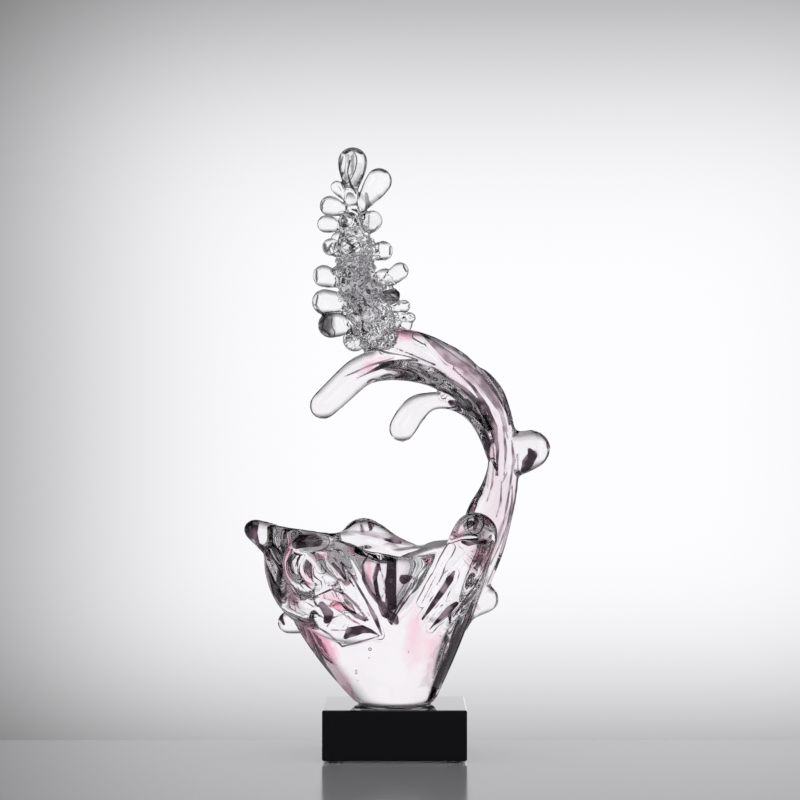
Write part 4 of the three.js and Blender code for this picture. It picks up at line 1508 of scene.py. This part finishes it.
@dataclass
class Wave:
    """The wave: a rope of fluted strands that rises and curls over, with two drips and a knob."""

    strands: int = 11
    twist: float = 50.0
    heart: float = 0.88  # the heart's size, in shares of the trunk's
    flute_radius: float = 0.25  # a flute's mean radius, in shares of the trunk's
    flute_spread: float = 0.05
    flute_sink: float = 0.9  # how deep a flute is sunk, in shares of its radius
    sway: float = 0.12
    trunk: tuple[tuple[float, ...], ...] = (
        (48, 10, 60, 24, 24),
        (58, 12, 90, 36, 30),
        (66.5, 13, 113, 40, 32),
        (74, 13, 134, 42, 32),
        (81, 12, 158, 41, 32),
        (88, 10, 177, 34, 30),
        (92, 8, 199, 27.5, 28),
        (90.5, 6, 223, 25.5, 27),
        (84, 4, 241, 28, 28),
        (73.5, 3, 257, 31, 29),
        (53.5, 2, 280, 33, 30),
        (36, 1, 291, 33, 30),
        (16, 0, 299, 33, 31),
        (-14, 0, 304, 32, 30),
    )
    drip_upper: tuple[tuple[float, ...], ...] = (
        (76, -6, 250, 18, 16),
        (60, -8, 266, 26, 22),
        (40, -9, 278, 28, 25),
        (16, -10, 285, 28, 26),
        (-10, -11, 286, 28, 26),
        (-29, -12, 280, 27, 26),
        (-47, -13, 264, 26, 25),
        (-69, -14, 243, 23, 23),
    )
    drip_lower: tuple[tuple[float, ...], ...] = (
        (86, -4, 190, 3, 3),
        (82, -10, 206, 9, 9),
        (77, -13, 226, 14, 13),
        (64, -14, 246, 15, 14),
        (46, -15, 254, 13, 13),
        (30, -16, 255, 17, 16),
        (16, -17, 247, 24, 22),
        (0, -18, 222, 23, 22),
    )

    def rope(self) -> list[Gather]:
        """The trunk's heart and the strands round it."""
        curve = evenly(through(np.array([Station(*row).row() for row in self.trunk]), 600), 2.0)
        heart = curve.copy()
        heart[:, 3:5] *= self.heart
        draw = frames(curve, (0, -1, 0), 1.0)
        made = [Gather(loft("trunk_heart", oval_rings(heart, 24, draw)), draw, 24)]
        share = np.linspace(0, 1, len(curve))
        for number in range(self.strands):
            angle = 2 * math.pi * number / self.strands + np.radians(self.twist) * share
            angle = angle + self.sway * np.sin(5 * share + 1.7 * number)
            share_of_trunk = self.flute_radius + self.flute_spread * math.sin(2.3 * number)
            radius = share_of_trunk * (curve[:, 3] + curve[:, 4]) / 2
            wide = (curve[:, 3] - radius * self.flute_sink)[:, None]
            thick = (curve[:, 4] - radius * self.flute_sink)[:, None]
            centre = (
                draw.centres
                + draw.sides * wide * np.cos(angle)[:, None]
                + draw.fronts * thick * np.sin(angle)[:, None]
            )
            strand = np.column_stack([centre, radius, radius])
            own = frames(strand, (0.3, -1, 0.2), 1.0)
            made.append(Gather(loft(f"flute_{number + 1}", oval_rings(strand, 12, own)), draw, 12))
        return made

    def gathers(self) -> list[Gather]:
        """The rope, the drips, the knob and the strands laid over the crest."""
        made = self.rope()
        made.append(limb("drip_upper", stations(*self.drip_upper), sides=28, lines=0.06))
        made.append(limb("drip_lower", stations(*self.drip_lower), sides=28, lines=0.06))
        made.append(
            limb(
                "knob_wave",
                stations(
                    (84, 4, 203, 24, 18),
                    (101, 3, 209, 36, 24),
                    (114, 2, 214, 35, 27),
                    (132, 1, 219, 27, 25),
                ),
                sides=28,
                lines=0.1,
            )
        )
        made.append(
            limb(
                "strand_outer",
                stations(
                    (99, 5, 206, 8, 9),
                    (98.5, 4, 226, 9, 11),
                    (94.5, 3, 245, 10, 12),
                    (86.5, 2, 265, 11, 12),
                    (71, 1, 283, 9, 10),
                ),
                lines=0.05,
            )
        )
        crest = {
            "crest_a": (
                (10, -10, 313, 3), (26, -13, 306, 8), (44, -15, 293, 9),
                (60, -15, 277, 9), (76, -13, 254, 3),
            ),
            "crest_b": (
                (-10, -14, 301, 3), (6, -17, 300, 7), (24, -18, 291, 8),
                (36, -16, 283, 6), (44, -12, 276, 2),
            ),
            "crest_c": (
                (40, -13, 297, 3), (54, -15, 286, 8), (68, -15, 271, 9),
                (80, -13, 250, 8), (90, -8, 222, 2),
            ),
            "crest_d": ((-24, -11, 300, 3), (-10, -14, 308, 8), (8, -15, 306, 8), (28, -12, 298, 3)),
            "drip_ridge": (
                (-34, -20, 277, 2), (-14, -25, 287, 5), (8, -24, 289, 6),
                (32, -21, 283, 6), (56, -15, 268, 2),
            ),
            "drip_shoulder": ((-44, -14, 272, 2), (-28, -20, 284, 5), (-10, -20, 292, 6), (6, -16, 296, 2)),
            "inner_strand": (
                (40, -17, 266, 2), (56, -19, 262, 6), (70, -17, 246, 7),
                (80, -14, 222, 6), (84, -9, 198, 2),
            ),
        }
        for name, rows in crest.items():
            made.append(limb(name, stations(*rows), sides=12, step=1.5, lines=0.3))
        return made


# The blossom


@dataclass(frozen=True)
class Bead:
    """A drop of glass on the core: the height of its root, the middle of its head, and the head's width."""

    rise: float
    x: float
    y: float
    z: float
    wide: float

    @classmethod
    def seen(cls, rise: float, across: float, down: float, y: float, wide: float) -> "Bead":
        """A bead whose head was read off the photograph, in pixels across and down, at a depth of y.

        Its place is kept to a tenth of a millimetre.
        """
        x, z = Sight(y).spot(across, down)
        return cls(rise, round(x, 1), y, round(z, 1), wide)


@dataclass
class Blossom:
    """The spike of blossom: a tapered core with drops of clear glass all round it."""

    core: tuple[tuple[float, ...], ...] = (
        (-1, 0, 297, 32, 32),
        (-15, 0, 313, 38, 34),
        (-23, 0, 336, 38, 34),
        (-32, 0, 362, 36, 33),
        (-34, 0, 388, 31, 28),
        (-36, 0, 414, 17, 17),
        (-37, 0, 440, 10, 10),
    )
    beads: tuple[Bead, ...] = (
        Bead.seen(409, 379, 181, -4, 22),
        Bead.seen(421, 337, 187, 4, 11),
        Bead.seen(415, 330, 206, -6, 17.5),
        Bead.seen(402, 326, 224, 6, 15),
        Bead.seen(403, 346, 222, -14, 14),
        Bead.seen(392, 372, 221, -2, 18),
        Bead.seen(381, 352, 247, -20, 19),
        Bead.seen(376, 331, 247, 10, 15),
        Bead.seen(373, 382.5, 251, 0, 17.5),
        Bead.seen(354, 324, 276, 2, 19),
        Bead.seen(341, 400, 271, 4, 15),
        Bead.seen(339, 388, 285, -8, 9),
        Bead.seen(336, 325, 302, -4, 22),
        Bead.seen(322, 331, 325, -6, 22),
        Bead.seen(336, 392, 296, -8, 14),
        Bead.seen(331, 404, 306, -4, 11),
        Bead.seen(324, 410, 318, -2, 10),
        Bead.seen(315, 352, 342, -8, 14),
        Bead(408, -34, 24, 422, 18),
        Bead(398, -20, 22, 408, 16),
        Bead(388, -46, 24, 392, 18),
        Bead(374, -26, 30, 384, 19),
        Bead(360, -46, 26, 362, 20),
        Bead(352, -8, 28, 360, 18),
        Bead(336, -42, 28, 336, 21),
        Bead(332, -18, 34, 338, 21),
        Bead(318, 6, 27, 322, 19),
        Bead(314, -34, 28, 308, 21),
        Bead(310, -10, 32, 312, 20),
    )
    crown_base: tuple[float, float, float] = (-37, 0, 424)
    crown_top: tuple[float, float, float] = (-35, -1, 470)
    crown_wide: float = 25.0
    pips: int = 26
    pip_low: float = 304.0
    pip_rise: float = 104.0
    pip_stand: float = 0.45  # how far a pip's head stands out, in shares of its size
    golden_turn: float = 2.39996  # radians from one pip to the next
    seed: int = 7

    def axis_at(self, height: np.ndarray) -> np.ndarray:
        """The core's axis and half width at heights."""
        curve = through(np.array([Station(*row).row() for row in self.core]), 400)
        return np.column_stack([np.interp(height, curve[:, 2], curve[:, k]) for k in range(5)])

    @staticmethod
    def drop_model() -> bpy.types.Object:
        """One drop, a unit across and pointing up: a sphere whose lower half is drawn out to a neck."""
        deselect()
        bpy.ops.mesh.primitive_uv_sphere_add(segments=24, ring_count=16, radius=0.5)
        model = bpy.context.object
        model.name = "drop"
        heights = sorted({round(vertex.co.z, 4) for vertex in model.data.vertices})
        for height in [level for level in heights if level < -0.01]:
            bpy.ops.object.mode_set(mode="EDIT")
            bpy.ops.mesh.select_all(action="DESELECT")
            bpy.ops.object.mode_set(mode="OBJECT")
            for vertex in model.data.vertices:
                vertex.select = abs(vertex.co.z - height) < 0.001
            share = -height / 0.5
            ring = math.sqrt(max(1 - share**2, 0.0))
            wanted = DROP_STEM + (1 - DROP_STEM) * math.cos(share * math.pi / 2) ** 1.9
            bpy.ops.object.mode_set(mode="EDIT")
            if ring > 0.05:
                factor = wanted / ring
                bpy.ops.transform.resize(value=(factor, factor, 1.0), center_override=(0, 0, height))
            bpy.ops.object.mode_set(mode="OBJECT")
        return model

    def drop(
        self,
        model: bpy.types.Object,
        name: str,
        root: Vector,
        way: Vector,
        length: float,
        wide: float,
        lines: float = 0.1,
    ) -> Gather:
        """A copy of the drop, set at a root and pointing along a direction.

        Args:
            model: The drop that is copied.
            name: The copy's name.
            root: Where its neck starts.
            way: The direction it points.
            length: Its length from root to tip.
            wide: Its width at the head.
            lines: How strongly the flutes' lines of painted shade, and their relief, show in it.

        Returns:
            The copy, with its place in its mesh.
        """
        copy = model.copy()
        copy.data = model.data.copy()
        copy.name = name
        bpy.context.collection.objects.link(copy)
        for vertex in copy.data.vertices:
            drawn = vertex.co.z if vertex.co.z > 0 else vertex.co.z * 2 * (length / wide - 0.5)
            vertex.co = Vector((vertex.co.x, vertex.co.y, drawn)) * wide
        head = root + way * (length - wide / 2)
        turn = Vector((0, 0, 1)).rotation_difference(way).to_matrix().to_4x4()
        place = Matrix.Translation((head + Vector((0, 0, FOOT))) * MM) @ turn @ Matrix.Scale(MM, 4)
        copy.data.transform(place)
        line = np.array([[*(root + way * share * length), wide / 2, wide / 2] for share in (0.0, 0.5, 1.0)])
        draw = frames(line, (0.1, -1, 0.3), lines)
        return Gather(copy, draw, len(copy.data.vertices))

    def gathers(self) -> list[Gather]:
        """The core, its beads and the small pips that fill the gaps between them."""
        made = [limb("core", stations(*self.core), sides=24)]
        model = self.drop_model()
        base, top = Vector(self.crown_base), Vector(self.crown_top)
        reach = top - base
        way = reach.normalized()
        made.append(self.drop(model, "bead_crown", base, way, reach.length, self.crown_wide, 1.0))
        for number, bead in enumerate(self.beads):
            root = Vector(self.axis_at(np.array([bead.rise]))[0, :3])
            reach = Vector((bead.x, bead.y, bead.z)) - root
            length = reach.length + bead.wide / 2
            name = f"bead_{number + 1:02d}"
            made.append(self.drop(model, name, root, reach.normalized(), length, bead.wide))
        chance = np.random.default_rng(self.seed)
        for number in range(self.pips):
            height = self.pip_low + self.pip_rise * (number + 0.5) / self.pips
            x, y, z, wide = self.axis_at(np.array([height]))[0, :4]
            bearing = self.golden_turn * number + chance.uniform(-0.3, 0.3)
            lift = chance.uniform(-0.5, 0.7)
            level = math.cos(lift)
            way = Vector((level * math.cos(bearing), level * math.sin(bearing), math.sin(lift)))
            size = chance.uniform(6, 9)
            length = wide + size * self.pip_stand
            made.append(self.drop(model, f"pip_{number + 1:02d}", Vector((x, y, z)), way, length, size))
        bpy.data.objects.remove(model)
        return made


# The plinth


@dataclass
class Plinth:
    """The black block, its bumpers and the film of adhesive."""

    side: float = 120.0
    height: float = 42.0
    bevel: float = 1.0
    bumper_wide: float = 10.0
    bumper_high: float = 1.5
    bumper_inset: float = 10.0
    film_radius: float = 31.0
    film_thick: float = 0.4

    def block(self) -> bpy.types.Object:
        """The block with its polished bevels."""
        deselect()
        middle = (self.bumper_high + self.height / 2) * MM
        bpy.ops.mesh.primitive_cube_add(size=1, location=(0, 0, middle))
        piece = bpy.context.object
        piece.name = "plinth"
        piece.scale = (self.side * MM, self.side * MM, self.height * MM)
        bpy.ops.object.transform_apply(location=True, rotation=True, scale=True)
        bpy.ops.object.mode_set(mode="EDIT")
        bpy.ops.mesh.select_all(action="SELECT")
        bpy.ops.mesh.bevel(offset=self.bevel * MM, segments=1, profile=0.5)
        bpy.ops.mesh.select_all(action="SELECT")
        bpy.ops.mesh.bevel(offset=0.12 * MM, segments=2, profile=0.5)
        bpy.ops.object.mode_set(mode="OBJECT")
        return piece

    def bumper(self, name: str, x: float, y: float) -> bpy.types.Object:
        """A clear pad with a rounded lower edge."""
        deselect()
        bpy.ops.mesh.primitive_cylinder_add(
            vertices=48,
            radius=self.bumper_wide / 2 * MM,
            depth=self.bumper_high * MM,
            location=(x * MM, y * MM, self.bumper_high / 2 * MM),
        )
        piece = bpy.context.object
        piece.name = name
        bpy.ops.object.transform_apply(location=True, rotation=True, scale=True)
        bpy.ops.object.mode_set(mode="EDIT")
        bpy.ops.mesh.select_mode(type="EDGE")
        bpy.ops.mesh.select_all(action="DESELECT")
        bpy.ops.object.mode_set(mode="OBJECT")
        for edge in piece.data.edges:
            edge.select = all(piece.data.vertices[k].co.z < 1e-5 for k in edge.vertices)
        bpy.ops.object.mode_set(mode="EDIT")
        bpy.ops.mesh.bevel(offset=self.bumper_high * 0.5 * MM, segments=5, profile=0.5)
        bpy.ops.object.mode_set(mode="OBJECT")
        bpy.ops.object.shade_smooth_by_angle(angle=math.radians(40))
        return piece

    def film(self) -> bpy.types.Object:
        """The film of adhesive under the glass foot."""
        deselect()
        level = self.bumper_high + self.height
        bpy.ops.mesh.primitive_cylinder_add(
            vertices=64,
            radius=self.film_radius * MM,
            depth=self.film_thick * MM,
            location=(0, 0, (level + self.film_thick / 2) * MM),
        )
        piece = bpy.context.object
        piece.name = "adhesive"
        bpy.ops.object.transform_apply(location=True, rotation=True, scale=True)
        bpy.ops.object.mode_set(mode="EDIT")
        bpy.ops.mesh.select_all(action="SELECT")
        bpy.ops.mesh.bevel(offset=0.1 * MM, segments=2, profile=0.5)
        bpy.ops.object.mode_set(mode="OBJECT")
        return piece

    def build(self) -> None:
        """Builds and settles the plinth's pieces."""
        settle(self.block(), Finish.BLACK_GLASS, ["plinth_block"])
        settle(self.film(), Finish.ADHESIVE, ["adhesive_film"])
        reach = self.side / 2 - self.bumper_inset
        for depth, y in (("front", -reach), ("back", reach)):
            for hand, x in (("left", -reach), ("right", reach)):
                name = f"bumper_{depth}_{hand}"
                settle(self.bumper(f"{name}_pad", x, y), Finish.BUMPER, [name])


# The glass


@dataclass
class Glass:
    """The fused glass: the vessel with the wave, and the blossom."""

    vessel: Vessel = field(default_factory=Vessel)
    wave: Wave = field(default_factory=Wave)
    blossom: Blossom = field(default_factory=Blossom)
    grain: float = 1.52
    smoothing: int = 51
    fine_grain: float = 0.9
    fine_smoothing: int = 6
    fold_size: float = 8.0
    fold_height: float = 6.0
    worked: tuple[Zone, ...] = (
        Zone(-12, 0, 314, 27, 30, 22, 1.0),
        Zone(-22, 0, 340, 24, 28, 26, 1.0),
        Zone(-31, 0, 370, 22, 27, 26, 1.0),
        Zone(-35, 0, 400, 14, 16, 16, 1.0),
    )
    calm: tuple[Zone, ...] = (
        Zone(60, 0, 120, 32, 90, 66, 1.0),
        Zone(84, 0, 50, 40, 90, 50, 1.0),
        Zone(60, 27, 210, 200, 25, 260, 1.0),
    )

    def build(self) -> None:
        """Builds, fuses and settles the glass."""
        nodes = [part["node"] for part in frame["record"]["subparts"]]
        spike = [node for node in nodes if node.startswith("bead_") or node == "blossom_core"]
        other = {"plinth_block", "adhesive_film"} | {node for node in nodes if node.startswith("bumper_")}
        rest = [node for node in nodes if node not in other and node not in spike]
        gathers = self.vessel.gathers() + self.wave.gathers()
        body = fuse("glass_body", gathers, self.grain, self.smoothing, tuple(SHADE_CORDS.values()), self.calm)
        settle(body, Finish.PINK_GLASS, rest)
        shade_cords = tuple(BLOSSOM_SHADE_CORDS.values())
        blossom = fuse("glass_blossom", self.blossom.gathers(), self.fine_grain, self.fine_smoothing, shade_cords)
        wrinkle(blossom, self.worked, self.fold_size, self.fold_height)
        settle(blossom, Finish.CLEAR_GLASS, spike)


# The studio


@dataclass
class Studio:
    """The table, the lamps, the bright surroundings and the camera."""

    table_back: float = 0.11
    table_reach: float = 3.0
    table_drop: float = 0.0002
    sensor: float = 36.0

    def camera(self) -> None:
        """The camera, level with the middle of the piece."""
        lens = bpy.data.cameras.new("camera")
        lens.sensor_width = self.sensor
        lens.lens = FOCAL / FRAME_SIDE * self.sensor
        lens.clip_end = 50.0
        view = bpy.data.objects.new("camera", lens)
        view.location = (CAMERA_X * MM, -CAMERA_DISTANCE * MM, (CAMERA_RISE + FOOT) * MM)
        view.rotation_euler = (math.radians(90), 0, 0)
        bpy.context.collection.objects.link(view)
        bpy.context.scene.camera = view

    def table(self) -> None:
        """The table, whose back edge shows behind the plinth."""
        deselect()
        bpy.ops.mesh.primitive_plane_add(size=1)
        plane = bpy.context.object
        plane.name = "table"
        plane.scale = (2 * self.table_reach, self.table_reach + self.table_back, 1)
        plane.location = (0, (self.table_back - self.table_reach) / 2, -self.table_drop)
        bpy.ops.object.transform_apply(location=True, rotation=True, scale=True)
        material = bpy.data.materials.new("pale_table")
        material.use_nodes = True
        book = NodeBook(material.node_tree)
        shader = book.node(
            "ShaderNodeBsdfPrincipled",
            {},
            {
                "Base Color": colour(0.36, 0.355, 0.365),
                "Roughness": 0.2,
                "IOR": 1.5,
                "Coat Weight": 1.0,
                "Coat Roughness": 0.14,
            },
        )
        book.node("ShaderNodeOutputMaterial", {}, {"Surface": shader})
        plane.data.materials.append(material)

    def surroundings(self) -> None:
        """A pale backdrop, with bright panels and dark gaps that only glass and gloss see."""
        world = bpy.data.worlds.new("studio")
        bpy.context.scene.world = world
        world.use_nodes = True
        book = NodeBook(world.node_tree)
        x, y, z = book.parts(book.node("ShaderNodeTexCoord", output="Generated"))
        turn = book.node("ShaderNodeMath", {"operation": "ARCTAN2"}, {0: x, 1: y})
        rise = book.node("ShaderNodeMath", {"operation": "ARCSINE"}, {0: z})
        sector = math.radians(45)
        near = book.node("ShaderNodeMath", {"operation": "WRAP"}, {0: turn, 1: sector / 2, 2: -sector / 2})
        backdrop = self._backdrop(near, rise)
        tent = self._tent(book, turn, rise)
        path = book.node("ShaderNodeLightPath")
        seen, gloss, bent = (
            Value(book, path.socket.node.outputs[name])
            for name in ("Is Camera Ray", "Is Glossy Ray", "Is Transmission Ray")
        )
        direct = seen.most(gloss * (1 - bent))
        level = direct * backdrop + (1 - direct) * (bent * tent + (1 - bent) * 0.85)
        shade = book.node("ShaderNodeBackground", {}, {"Color": colour(0.985, 0.98, 1.0), "Strength": level})
        book.node("ShaderNodeOutputWorld", {}, {"Surface": shade})

    @staticmethod
    def _backdrop(near: Value, rise: Value) -> Value:
        """Brightness of the backdrop: white behind the piece, and falling off to grey round it."""
        level_view = rise.ease(math.radians(-25), math.radians(-12))
        across = abs(near * 7.55 - 0.3) * level_view
        up = rise * 7.55 + 0.075
        above = up.most(0.0).least(1.6)
        below = (0.0 - up).most(0.0).least(0.8)
        return 1 / (1 + 0.28 * across.least(2.0) ** 5) * (1 / (1 + 0.7 * above**5 + 3.5 * below**5))

    @staticmethod
    def _tent(book: NodeBook, turn: Value, rise: Value) -> Value:
        """What shows through glass: a tall bright screen on every side, with dark gaps between them."""
        round_about = book.node(
            "ShaderNodeValToRGB",
            {
                "stops": (
                    (0.0, (0.8, 0.8, 0.8)),
                    (0.05, (0.12, 0.12, 0.12)),
                    (0.10, (0.12, 0.12, 0.12)),
                    (0.15, (0.8, 0.8, 0.8)),
                    (0.25, (0.9, 0.9, 0.9)),
                    (0.28, (0.03, 0.03, 0.03)),
                    (0.35, (0.05, 0.05, 0.05)),
                    (0.38, (1.0, 1.0, 1.0)),
                    (0.64, (1.0, 1.0, 1.0)),
                    (0.66, (0.12, 0.12, 0.12)),
                    (0.70, (0.12, 0.12, 0.12)),
                    (0.72, (0.95, 0.95, 0.95)),
                    (0.85, (0.8, 0.8, 0.8)),
                    (0.90, (0.12, 0.12, 0.12)),
                    (0.95, (0.12, 0.12, 0.12)),
                    (1.0, (0.8, 0.8, 0.8)),
                )
            },
            {0: turn / (2 * math.pi) + 0.5},
        )
        upright = book.node(
            "ShaderNodeValToRGB",
            {
                "stops": (
                    (0.0, (0.10, 0.10, 0.10)),
                    (0.28, (0.30, 0.30, 0.30)),
                    (0.40, (1.0, 1.0, 1.0)),
                    (0.64, (1.0, 1.0, 1.0)),
                    (0.70, (0.6, 0.6, 0.6)),
                    (0.79, (0.08, 0.08, 0.08)),
                    (1.0, (0.04, 0.04, 0.04)),
                )
            },
            {0: rise / math.pi + 0.5},
        )
        return round_about * upright

    def lamps(self) -> None:
        """Soft lamps overhead and at both sides."""
        for name, place, size, power in (
            ("lamp_over", (0.0, -0.3, 2.2), 1.6, 14.0),
            ("lamp_left", (-1.8, -1.2, 1.2), 1.2, 5.0),
            ("lamp_right", (1.8, -1.0, 1.2), 1.2, 6.0),
        ):
            light = bpy.data.lights.new(name, "AREA")
            light.size = size
            light.energy = power
            lamp = bpy.data.objects.new(name, light)
            lamp.location = place
            aim = Vector((0, 0, 0.2)) - Vector(place)
            lamp.rotation_euler = aim.to_track_quat("-Z", "Y").to_euler()
            lamp.visible_transmission = False
            bpy.context.collection.objects.link(lamp)

    def build(self) -> None:
        """Sets up the studio."""
        bpy.context.scene.view_settings.view_transform = "Standard"
        self.camera()
        self.table()
        self.surroundings()
        self.lamps()
        log.info("studio: camera, table, surroundings and lamps")


def main() -> None:
    """Builds the studio, the plinth and the glass."""
    Studio().build()
    Plinth().build()
    Glass().build()


if __name__ == "__main__":
    main()
